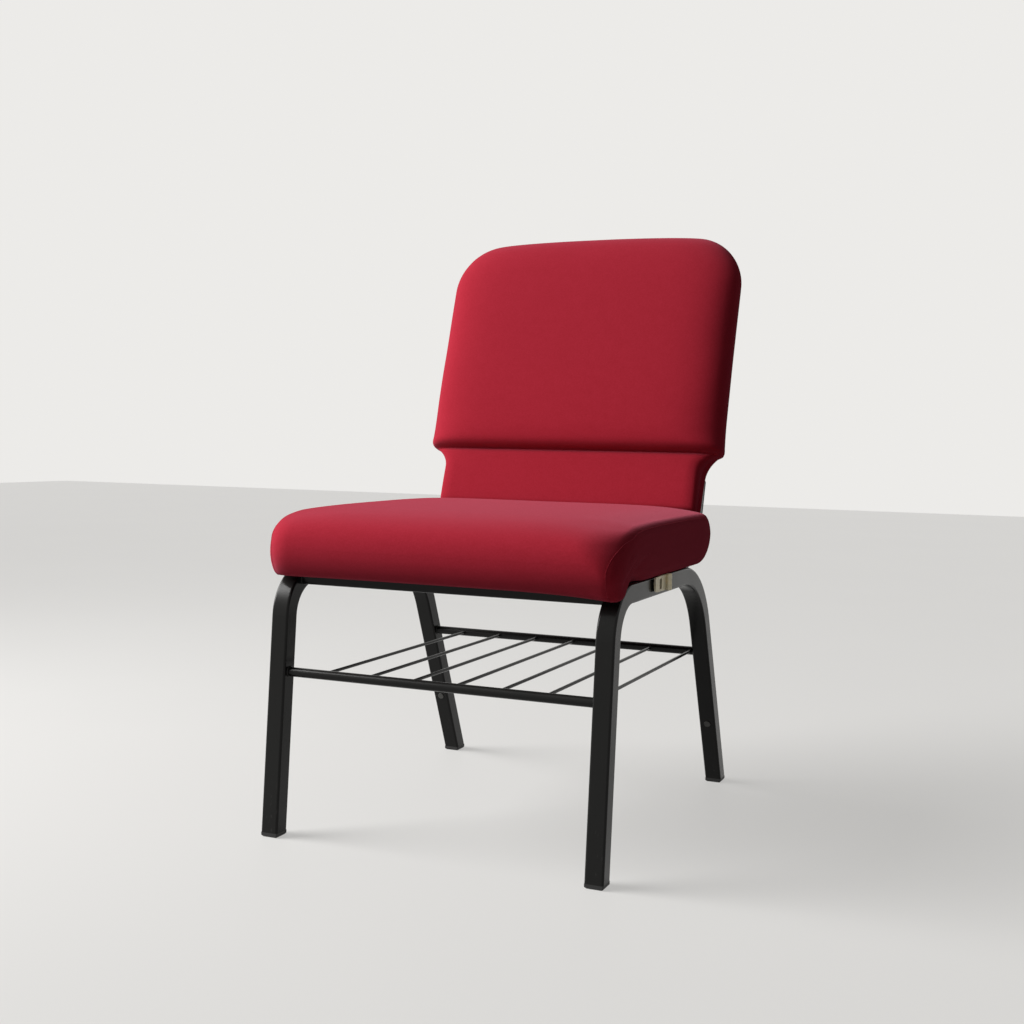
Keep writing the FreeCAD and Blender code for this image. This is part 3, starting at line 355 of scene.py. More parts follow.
class Shader:
    """A material's node tree, built with short calls.

    The mix node has a set of sockets for each type of data, and those of colours are known by their numbers.
    """

    mix_inputs: tuple[int, int] = (6, 7)
    mix_output: int = 2

    def __init__(self, name: str) -> None:
        """Start a material with one principled shader.

        Args:
            name: the material's name.
        """
        self.material = bpy.data.materials.new(name)
        self.material.use_nodes = True
        self.nodes = self.material.node_tree.nodes
        self.links = self.material.node_tree.links
        self.principled = self.nodes["Principled BSDF"]

    def set(self, **values: float | Colour) -> None:
        """Set constants straight on the principled shader.

        Args:
            values: a number or a colour for each socket, named with _ for a space.
        """
        for key, value in values.items():
            socket = self.principled.inputs[key.replace("_", " ")]
            socket.default_value = (*value, 1.0) if isinstance(value, tuple) else value

    def node(self, kind: str, inputs: dict[str, float | Point] | None = None,
             **values: object) -> bpy.types.Node:
        """Add a node.

        Args:
            kind: the node's type, without its usual beginning.
            inputs: values of its input sockets.
            values: its properties.

        Returns:
            The new node.
        """
        made = self.nodes.new("ShaderNode" + kind)
        for key, value in values.items():
            setattr(made, key, value)
        for key, value in (inputs or {}).items():
            made.inputs[key].default_value = value
        return made

    def join(self, output: Socket, target: Socket | str) -> None:
        """Link an output to a socket, or to the principled shader's socket of that name."""
        self.links.new(output, self.principled.inputs[target] if isinstance(target, str) else target)

    def pattern(self, coordinates: Coordinates, stretch: Point = (1.0, 1.0, 1.0)) -> Socket:
        """Coordinates stretched by a mapping node.

        Args:
            coordinates: where the pattern is read from.
            stretch: factor along each axis.

        Returns:
            The socket of the stretched coordinates.
        """
        mapping = self.node("Mapping", {"Scale": stretch})
        self.join(self.node("TexCoord").outputs[coordinates.value], mapping.inputs["Vector"])
        return mapping.outputs["Vector"]

    def split(self, vector: Socket, axis: Axis) -> Socket:
        """One axis of a vector.

        Args:
            vector: the vector's socket.
            axis: the axis to read.

        Returns:
            The socket of the axis.
        """
        parts = self.node("SeparateXYZ")
        self.join(vector, parts.inputs["Vector"])
        return parts.outputs[axis.name]

    def noise(self, vector: Socket, scale: float, detail: float = 3.0,
              rough: float = 0.55) -> Socket:
        """Noise over a vector.

        Args:
            vector: the coordinates' socket.
            scale: scale per unit of the vector.
            detail: layers of finer noise.
            rough: share of each finer layer.

        Returns:
            The socket of the noise's value.
        """
        made = self.node("TexNoise", {"Scale": scale, "Detail": detail, "Roughness": rough})
        self.join(vector, made.inputs["Vector"])
        return made.outputs["Fac"]

    def wave(self, vector: Socket, direction: Axis, scale: float, distortion: float,
             detail_scale: float = 0.6) -> Socket:
        """Even bands along an axis of a vector.

        Args:
            vector: the coordinates' socket.
            direction: the axis that the bands follow each other along.
            scale: scale per unit of the vector.
            distortion: how far the bands wander.
            detail_scale: scale of their wandering.

        Returns:
            The socket of the bands' value.
        """
        made = self.node("TexWave", {"Scale": scale, "Distortion": distortion, "Detail Scale": detail_scale},
                         wave_type="BANDS", bands_direction=direction.name)
        self.join(vector, made.inputs["Vector"])
        return made.outputs["Fac"]

    def math(self, operation: str, first: Socket, second: Socket | float,
             held: bool = False) -> Socket:
        """A sum, product or other operation of two values.

        Args:
            operation: the math node's operation.
            first: the first value's socket.
            second: the second value or its socket.
            held: whether the result is held between 0 and 1.

        Returns:
            The socket of the result.
        """
        made = self.node("Math", operation=operation, use_clamp=held)
        self.join(first, made.inputs[0])
        if isinstance(second, float):
            made.inputs[1].default_value = second
        else:
            self.join(second, made.inputs[1])
        return made.outputs[0]

    def ramp(self, value: Socket, within: Span, colours: tuple[Colour, Colour]) -> Socket:
        """Two colours over a value.

        Args:
            value: the value's socket.
            within: values at which the two colours are reached.
            colours: the two colours.

        Returns:
            The socket of the colour.
        """
        made = self.node("ValToRGB")
        for element, place, colour in zip(made.color_ramp.elements, within, colours):
            element.position = place
            element.color = (*colour, 1.0)
        self.join(value, made.inputs["Fac"])
        return made.outputs["Color"]

    def spread(self, value: Socket, to: Span, within: Span = (0.0, 1.0)) -> Socket:
        """Map a value from one range to another, held at both ends.

        Args:
            value: the value's socket.
            to: results at the two ends.
            within: values at the two ends.

        Returns:
            The socket of the result.
        """
        ends = ("From Min", "From Max", "To Min", "To Max")
        made = self.node("MapRange", dict(zip(ends, (*within, *to))))
        self.join(value, made.inputs["Value"])
        return made.outputs["Result"]

    def mix(self, share: Socket, first: Socket | Colour,
            second: Socket | Colour) -> Socket:
        """Mix two colours.

        Args:
            share: the socket of the second colour's share.
            first: the first colour or its socket.
            second: the second colour or its socket.

        Returns:
            The socket of the mixed colour.
        """
        made = self.node("Mix", data_type="RGBA")
        self.join(share, made.inputs["Factor"])
        for number, colour in zip(self.mix_inputs, (first, second)):
            if isinstance(colour, tuple):
                made.inputs[number].default_value = (*colour, 1.0)
            else:
                self.join(colour, made.inputs[number])
        return made.outputs[self.mix_output]

    def bump(self, height: Socket, depth: float, strength: float) -> None:
        """Raise the surface by a height.

        Args:
            height: the height's socket, from 0 to 1.
            depth: depth of the whole height, in millimetres.
            strength: how much of the bump shows.
        """
        made = self.node("Bump", {"Strength": strength, "Distance": depth * MM})
        self.join(height, made.inputs["Height"])
        self.join(made.outputs["Normal"], "Normal")


@dataclass(frozen=True)
class WovenCover:
    """Plain woven upholstery: crossing threads, slubs and a soft nap."""

    name: str = "cover_weave"
    light: Colour = (0.365, 0.0205, 0.0370)
    deep: Colour = (0.260, 0.0098, 0.0178)
    thread: float = 1.5
    coordinates: Coordinates = Coordinates.SURFACE
    wander: float = 0.6
    slub_scale: float = 420.0
    drift_scale: float = 60.0
    drift_rough: float = 0.7
    drift: Span = (-0.05, 0.05)
    body_tones: Span = (0.12, 0.88)
    body_range: Span = (0.25, 0.85)
    colour_range: Span = (0.15, 0.85)
    roughness: Span = (0.78, 0.92)
    nap: float = 0.25
    nap_roughness: float = 0.5
    nap_tint: Colour = (1.0, 0.36, 0.50)
    thread_height: float = 0.22
    relief: float = 0.6

    def make(self) -> Material:
        """Warp and weft bands crossed, with slow colour drift and a bump of thread height.

        Returns:
            The material.
        """
        shader = Shader(self.name)
        spot = shader.pattern(self.coordinates)
        # The wave texture's bands lie pi / 10 apart at scale 1, so this sets them about a thread apart.
        bands = 1.0 / (math.pi * self.thread * MM)
        warp = shader.wave(spot, Axis.X, bands, self.wander)
        weft = shader.wave(spot, Axis.Y, bands, self.wander)
        threads = shader.math("MAXIMUM", warp, weft)
        place = shader.pattern(Coordinates.OBJECT)
        slub = shader.noise(place, self.slub_scale, detail=4.0)
        drift = shader.noise(place, self.drift_scale, detail=5.0, rough=self.drift_rough)
        body = shader.math("MULTIPLY", shader.math("ADD", threads, slub), 0.5)
        tone = shader.math("ADD", shader.spread(body, self.body_tones, self.body_range),
                           shader.spread(drift, self.drift, NOISE_MIDDLE), held=True)
        shader.join(shader.ramp(tone, self.colour_range, (self.deep, self.light)), "Base Color")
        shader.join(shader.spread(slub, self.roughness), "Roughness")
        shader.set(Specular_IOR_Level=0.0, Sheen_Weight=self.nap, Sheen_Roughness=self.nap_roughness,
                   Sheen_Tint=self.nap_tint)
        shader.bump(body, self.thread_height, self.relief)
        return shader.material


@dataclass(frozen=True)
class PowderCoat:
    """Satin black powder coat with a fine orange peel, dust on what faces up and scuffs near the floor."""

    name: str = "frame_coat"
    black: Colour = (0.0125, 0.0125, 0.012)
    dusty: Colour = (0.022, 0.0217, 0.021)
    scuff: Colour = (0.040, 0.039, 0.037)
    cloud_scale: float = 14.0
    dust: Span = (0.0, 0.45)
    dust_upward: Span = (0.35, 1.0)
    dust_clouds: Span = (0.2, 1.0)
    scuff_heights_m: Span = (0.01, 0.11)
    scratch_scale: float = 260.0
    scratch_stretch: Point = (1.0, 1.0, 0.25)
    scratch_rough: float = 0.7
    scratch_range: Span = (0.60, 0.68)
    roughness: Span = (0.17, 0.27)
    gloss: float = 0.15
    peel_scale: float = 900.0
    peel_depth: float = 0.05
    relief: float = 0.35

    def make(self) -> Material:
        """Base black mixed with dust by the upward normal, and with scuffs by noise low on the legs.

        Returns:
            The material.
        """
        shader = Shader(self.name)
        place = shader.pattern(Coordinates.OBJECT)
        cloud = shader.noise(place, self.cloud_scale, detail=5.0)
        upward = shader.split(shader.node("NewGeometry").outputs["Normal"], Axis.Z)
        dust = shader.math("MULTIPLY", shader.spread(upward, self.dust, self.dust_upward),
                           shader.spread(cloud, self.dust_clouds, NOISE_MIDDLE))
        colour = shader.mix(dust, self.black, self.dusty)
        low = shader.spread(shader.split(place, Axis.Z), (1.0, 0.0), self.scuff_heights_m)
        along = shader.pattern(Coordinates.OBJECT, self.scratch_stretch)
        scratch = shader.noise(along, self.scratch_scale, detail=6.0, rough=self.scratch_rough)
        worn = shader.math("MULTIPLY", low, shader.spread(scratch, (0.0, 1.0), self.scratch_range))
        shader.join(shader.mix(worn, colour, self.scuff), "Base Color")
        shader.join(shader.spread(cloud, self.roughness, NOISE_MIDDLE), "Roughness")
        shader.set(Specular_IOR_Level=self.gloss)
        shader.bump(shader.noise(place, self.peel_scale, detail=2.0), self.peel_depth, self.relief)
        return shader.material


@dataclass(frozen=True)
class PlatedZinc:
    """Yellow passivated zinc: cloudy straw tones and a brushed grain."""

    name: str = "gang_zinc"
    straw: Colour = (0.74, 0.65, 0.43)
    grey: Colour = (0.60, 0.55, 0.42)
    cloud_scale: float = 130.0
    cloud_range: Span = (0.3, 0.68)
    grain_scale: float = 2600.0
    grain_stretch: Point = (1.0, 0.08, 1.0)
    roughness: Span = (0.34, 0.55)
    metal: float = 0.3
    grain_depth: float = 0.03
    relief: float = 0.5

    def make(self) -> Material:
        """Cloudy grey to straw colour over a partly metallic base with a brushed bump.

        Returns:
            The material.
        """
        shader = Shader(self.name)
        cloud = shader.noise(shader.pattern(Coordinates.OBJECT), self.cloud_scale, detail=4.0)
        along = shader.pattern(Coordinates.OBJECT, self.grain_stretch)
        grain = shader.noise(along, self.grain_scale, detail=2.0)
        shader.join(shader.ramp(cloud, self.cloud_range, (self.grey, self.straw)), "Base Color")
        shader.join(shader.spread(grain, self.roughness), "Roughness")
        shader.set(Metallic=self.metal)
        shader.bump(grain, self.grain_depth, self.relief)
        return shader.material


@dataclass(frozen=True)
class MouldedPlastic:
    """Matt moulded plastic with a spark-eroded grain."""

    name: str
    base: Colour = (0.018, 0.018, 0.018)
    worn: Colour = (0.045, 0.044, 0.042)
    grain_scale: float = 1400.0
    rub_scale: float = 45.0
    rub_range: Span = (0.55, 0.75)
    roughness: Span = (0.5, 0.7)
    gloss: float = 0.4
    grain_depth: float = 0.06
    relief: float = 0.5

    def make(self) -> Material:
        """Grain bump, with paler rubbed patches.

        Returns:
            The material.
        """
        shader = Shader(self.name)
        place = shader.pattern(Coordinates.OBJECT)
        grain = shader.noise(place, self.grain_scale)
        rubbed = shader.spread(shader.noise(place, self.rub_scale, detail=5.0), (0.0, 1.0), self.rub_range)
        shader.join(shader.mix(rubbed, self.base, self.worn), "Base Color")
        shader.join(shader.spread(grain, self.roughness), "Roughness")
        shader.set(Specular_IOR_Level=self.gloss)
        shader.bump(grain, self.grain_depth, self.relief)
        return shader.material


@dataclass(frozen=True)
class Plywood:
    """Bare birch plywood."""

    name: str = "board_ply"
    pale: Colour = (0.62, 0.47, 0.30)
    dark: Colour = (0.44, 0.30, 0.17)
    grain_scale: float = 160.0
    grain_stretch: Point = (0.06, 1.0, 1.0)
    roughness: Span = (0.5, 0.7)
    grain_depth: float = 0.1
    relief: float = 0.4

    def make(self) -> Material:
        """Stretched noise along X as grain.

        Returns:
            The material.
        """
        shader = Shader(self.name)
        along = shader.pattern(Coordinates.OBJECT, self.grain_stretch)
        grain = shader.noise(along, self.grain_scale, detail=6.0)
        shader.join(shader.ramp(grain, NOISE_MIDDLE, (self.dark, self.pale)), "Base Color")
        shader.join(shader.spread(grain, self.roughness), "Roughness")
        shader.bump(grain, self.grain_depth, self.relief)
        return shader.material


@dataclass(frozen=True)
class LiningCloth:
    """Thin black bonded lining with a dotted print of bonds."""

    name: str = "dust_lining"
    base: Colour = (0.020, 0.020, 0.021)
    bond: Colour = (0.050, 0.050, 0.052)
    dot_scale: float = 450.0
    dot_scatter: float = 0.15
    dot_range: Span = (0.15, 0.4)
    fibre_scale: float = 700.0
    roughness: Span = (0.75, 0.95)
    dot_depth: float = 0.08
    relief: float = 0.5

    def make(self) -> Material:
        """Small bond dots from Voronoi cells over fibrous noise.

        Returns:
            The material.
        """
        shader = Shader(self.name)
        place = shader.pattern(Coordinates.OBJECT)
        cells = shader.node("TexVoronoi", {"Scale": self.dot_scale, "Randomness": self.dot_scatter})
        shader.join(place, cells.inputs["Vector"])
        dots = shader.spread(cells.outputs["Distance"], (1.0, 0.0), self.dot_range)
        fibre = shader.noise(place, self.fibre_scale, detail=5.0)
        shader.join(shader.mix(shader.math("MULTIPLY", dots, fibre), self.base, self.bond), "Base Color")
        shader.join(shader.spread(fibre, self.roughness), "Roughness")
        shader.bump(dots, self.dot_depth, self.relief)
        return shader.material


@dataclass(frozen=True)
class PlatedSteel:
    """Bright plated steel of screws and nuts."""

    name: str = "fixing_steel"
    bright: Colour = (0.55, 0.55, 0.54)
    dull: Colour = (0.36, 0.35, 0.33)
    cloud_scale: float = 300.0
    cloud_range: Span = (0.35, 0.65)
    roughness: Span = (0.45, 0.28)

    def make(self) -> Material:
        """Metal with cloudy tarnish.

        Returns:
            The material.
        """
        shader = Shader(self.name)
        cloud = shader.noise(shader.pattern(Coordinates.OBJECT), self.cloud_scale, detail=4.0)
        shader.join(shader.ramp(cloud, self.cloud_range, (self.dull, self.bright)), "Base Color")
        shader.join(shader.spread(cloud, self.roughness), "Roughness")
        shader.set(Metallic=1.0)
        return shader.material


@dataclass
class SeatCushion:
    """The seat: a crowned pad with a falling nose, a tucked front lip and boxed sides with a sewn seam.

    The outline is its section at the middle of the chair, as places (y, z) from the front round over the top
    to the rear, and from the rear back underneath to the front. A pair whose name ends in x, y or z is where
    a change starts and ends along that axis. Any other pair is the sitter's right and left side's size.
    """

    over: Profile = (
        (-316, 389), (-315.7, 394), (-313, 406), (-306, 418), (-295, 426.4), (-279, 432.4), (-258, 436.2),
        (-221, 439.6), (-154, 441.8), (-60, 442.6), (30, 442.6), (85, 441.6), (113, 438.5), (128, 430),
        (134.8, 418.5), (136, 405))
    under: Profile = (
        (136, 405), (133, 391), (123, 377.5), (105, 367), (82, 362), (60, 361.3), (0, 361.3), (-100, 361.3),
        (-200, 361.3), (-252, 361.3), (-265, 360), (-273, 354.6), (-282, 350.6), (-292, 350.4), (-302, 355),
        (-310, 364), (-314.6, 376), (-315.7, 384), (-316, 389))
    half: float = 252.0
    middle_z: float = 398.0
    collapse: float = 37.5
    panel_bulge: float = 1.2
    crowns: Span = (4.5, 8.0)
    crown_power: float = 5.0
    crown_rise: float = 30.0
    edge: float = 12.0
    edge_z: Span = (358.0, 398.0)
    under_edge: float = 18.0
    lip_edge: float = 6.0
    lip_edge_y: Span = (-285.0, -245.0)
    lip_y: Span = (-230.0, -255.0)
    lip_z: Span = (370.0, 358.0)
    front_corners: Span = (46.0, 58.0)
    lip_corners: Span = (42.0, 22.0)
    corner_z: Span = (368.0, 418.0)
    corner_reach: float = 130.0
    lip_reach: float = 58.0
    reach_z: Span = (362.0, 392.0)
    rear_corner: float = 26.0
    lip_droops: Span = (1.0, 7.5)
    droop_z: Span = (360.0, 352.0)
    droop_power: int = 4
    lip_tucks: Span = (0.0, 3.0)
    tuck_x: Span = (150.0, 240.0)
    bend_place: float = -236.0
    bend_length: float = 28.0
    bend_lift: float = 7.0
    bend_x: Span = (233.0, 243.0)
    bend_z: Span = (370.0, 362.0)
    half_count: int = 92
    flat_count: int = 35
    rim: float = 12.0
    rim_count: int = 4
    turn_count: int = 8
    held_z: Span = (404.0, 364.0)
    panel_hold: float = 0.7
    seam_hold: float = 0.8
    seam_hold_rows: float = 1.2
    seam_depth: float = 5.0
    seam_radius: float = 0.5
    seam_fade: float = 0.5
    seam_fade_z: Span = (388.0, 412.0)
    seam_samples: int = 480
    stitch: float = 5.0
    stitch_swell: float = 0.25
    nose_line: Profile = (
        (352, 239), (366, 236), (380, 236), (392, 238), (406, 242.4), (420, 245.4), (430, 249.4))
    nose_y: Span = (-235.0, -275.0)
    lip_count: int = 16
    rear_count: int = 6

    def stations(self) -> tuple[np.ndarray, np.ndarray, np.ndarray]:
        """Places x and draw-ins from the chair's middle to the middle of the left side panel.

        Straight out to the edge's start, with a finer rim there, then the quarter round x = x0 + e sin a with
        draw-in e (1 - cos a), then straight in over the side panel with a bulge of b (1 - s^2).

        Returns:
            The places, the edge's share of its full draw-in and the panel's share of the way in.
        """
        start = self.half - self.edge
        step = self.rim / (self.rim_count - 1)
        flat = np.concatenate([np.linspace(0.0, start - self.rim - step, self.flat_count),
                               np.linspace(start - self.rim, start, self.rim_count)])
        angle = np.linspace(0.0, math.pi / 2, self.turn_count)[1:]
        panel = np.linspace(0.0, 1.0, self.turn_count)[1:]
        x = np.concatenate([flat, start + self.edge * np.sin(angle),
                            self.half + self.panel_bulge * (1.0 - (1.0 - panel) ** 2)])
        turned = np.concatenate([np.zeros_like(flat), 1.0 - np.cos(angle), np.ones_like(panel)])
        return x, turned, np.concatenate([np.zeros_like(flat), np.zeros_like(angle), panel])

    def grid(self) -> np.ndarray:
        """The seat's points: rows across the chair, columns round the section.

        Each row is the middle section with its ends moved in by the plan corners' quarter rounds, its top
        lowered away from the crown, its lip drooping towards the corners and lifted over the frame's bends.
        Every point is then moved towards the side panel's middle line by the draw-in, whose radius changes
        from the top to the underside and the lip.

        Returns:
            An array of rows, columns and x, y, z.
        """
        over = spline(np.array(self.over), self.half_count)
        under = spline(np.array(self.under), self.half_count)
        loop = np.vstack([over, under[1:-1]])
        x, turned, panel = (np.concatenate([sign * part[:0:-1], part])[:, None]
                            for sign, part in zip((-1.0, 1.0, 1.0), self.stations()))
        y, z = loop[None, :, 0], loop[None, :, 1]
        low_edge = self.lip_edge + (self.under_edge - self.lip_edge) * rise(y, *self.lip_edge_y)
        edge = low_edge + (self.edge - low_edge) * rise(z, *self.edge_z)
        inset = edge * turned + (self.collapse - edge) * panel
        gap = np.maximum(self.half - np.abs(x), 0.0)
        front, rear = loop[:, 0].min(), loop[:, 0].max()
        pairs = (self.crowns, self.front_corners, self.lip_corners, self.lip_droops, self.lip_tucks)
        crown, front_corner, lip_corner, lip_droop, lip_tuck = (np.where(x < 0.0, *pair) for pair in pairs)
        lip = rise(y, *self.lip_y) * rise(z, *self.lip_z)
        corner = lip_corner + (front_corner - lip_corner) * rise(z, *self.corner_z)
        reach = self.lip_reach + (self.corner_reach - self.lip_reach) * rise(z, *self.reach_z)
        y = y + draw_in(corner, gap) * ease((front + reach - y) / reach)
        y = y - draw_in(self.rear_corner, gap) * ease((y - rear + self.corner_reach) / self.corner_reach)
        droop = lip_droop * rise(z, *self.droop_z) * (x / self.half) ** self.droop_power
        fall = crown * np.abs(x / self.half) ** self.crown_power
        lift = self.bend_lift * np.exp(-((y - self.bend_place) / self.bend_length) ** 2)
        lift = lift * rise(np.abs(x), *self.bend_x) * rise(z, *self.bend_z)
        z = z - fall * rise(z, self.middle_z, self.middle_z + self.crown_rise) - droop + lift
        share = np.linspace(0.0, 1.0, self.half_count)
        line = np.concatenate([share, share[-2:0:-1]])[None, :]
        low = y.min(axis=1, keepdims=True) + self.collapse
        high = y.max(axis=1, keepdims=True) - self.collapse
        pull = inset / self.collapse
        y = y + (low + (high - low) * line - y) * pull * (1.0 - lip * (1.0 - panel))
        z = z + (self.middle_z - z) * pull
        x = x - np.sign(x) * lip_tuck * lip * rise(np.abs(x), *self.tuck_x) * (1.0 - panel)
        return np.stack(np.broadcast_arrays(x, y, z), axis=-1)

    def seam_rows(self, grid: np.ndarray, side: Side) -> tuple[np.ndarray, np.ndarray]:
        """Where the seam crosses each column from the lip over the top, as a row number with a fraction.

        The seam keeps to one draw-in along the top and moves round the front corner as it goes down the nose,
        from the side towards the place x that the nose line gives for the height.

        Args:
            grid: the seat's points.
            side: which side panel.

        Returns:
            The columns and the row number in each.
        """
        x, turned, panel = self.stations()
        middle = len(x) - 1
        columns = np.arange(-self.lip_count, self.half_count - self.rear_count)
        height, depth = grid[middle, columns, 2], grid[middle, columns, 1]
        place = np.arange(len(x), dtype=float)
        top = np.interp(self.seam_depth / self.edge, turned[panel == 0.0], place[panel == 0.0])
        nose_x = np.interp(height, *np.array(self.nose_line).T)
        nose = np.minimum(np.interp(nose_x, x[panel == 0.0], place[panel == 0.0]), top)
        return columns, middle + side.value * (top + (nose - top) * rise(depth, *self.nose_y))

    def seam_path(self, grid: np.ndarray, side: Side) -> np.ndarray:
        """The seam's line on the grid, read between its rows.

        Args:
            grid: the seat's points.
            side: which side panel.

        Returns:
            Points of the seam, one per row.
        """
        columns, rows = self.seam_rows(grid, side)
        low = np.floor(rows).astype(int)
        share = (rows - low)[:, None]
        return grid[low, columns] * (1.0 - share) + grid[low + 1, columns] * share

    def hold(self, grid: np.ndarray) -> np.ndarray:
        """How firmly each point is held while the cover swells.

        The underside is held and lets go up the sides, the side panels are held in part, and so is a narrow
        band along each seam, as a bell curve over its rows.

        Args:
            grid: the seat's points.

        Returns:
            A share from 0 to 1 by row and column.
        """
        panels = np.where(np.abs(grid[..., 0]) > self.half, self.panel_hold, 0.0)
        held = np.maximum(rise(grid[..., 2], *self.held_z), panels)
        row = np.arange(len(grid))[:, None]
        for side in Side:
            columns, at = self.seam_rows(grid, side)
            near = np.exp(-((row - at[None, :]) / self.seam_hold_rows) ** 2)
            held[:, columns] = np.maximum(held[:, columns], self.seam_hold * near)
        return held

    def seam(self, grid: np.ndarray, side: Side, thread: Material) -> Piece:
        """A seam as a thin tube that swells at each stitch and thins out down the nose.

        Args:
            grid: the seat's points after swelling.
            side: which side panel.
            thread: the seam's finish.

        Returns:
            The new piece.
        """
        path = spline(self.seam_path(grid, side), self.seam_samples)
        stitches = 1.0 - self.stitch_swell
        stitches = stitches + self.stitch_swell * np.abs(np.sin(math.pi * run_length(path) / self.stitch))
        fade = 1.0 - self.seam_fade + self.seam_fade * rise(path[:, 2], *self.seam_fade_z)
        made = tube(path, self.seam_radius * stitches * fade)
        piece = surface("seat_seam_" + side.name.lower(), *made, thread)
        turn_outwards(piece, merge=True)
        return piece

    def build(self, finish: Material, thread: Material) -> list[Piece]:
        """Make the cushion and its two seams.

        Args:
            finish: the woven finish.
            thread: the seams' finish.

        Returns:
            The new pieces.
        """
        grid = self.grid()
        x, turned, panel = self.stations()
        out = x + self.edge * turned + (self.collapse - self.edge) * panel
        along = np.concatenate([-out[:0:-1], out])
        cover = Cover("seat_cushion", grid, round_length(grid[len(grid) // 2]), along, finish)
        Cushioning().swell(cover, self.hold(grid))
        grid = cover.places()
        subdivide(cover.piece)
        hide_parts("seat_cover", "seat_foam")
        return [cover.piece, *(self.seam(grid, side, thread) for side in Side)]


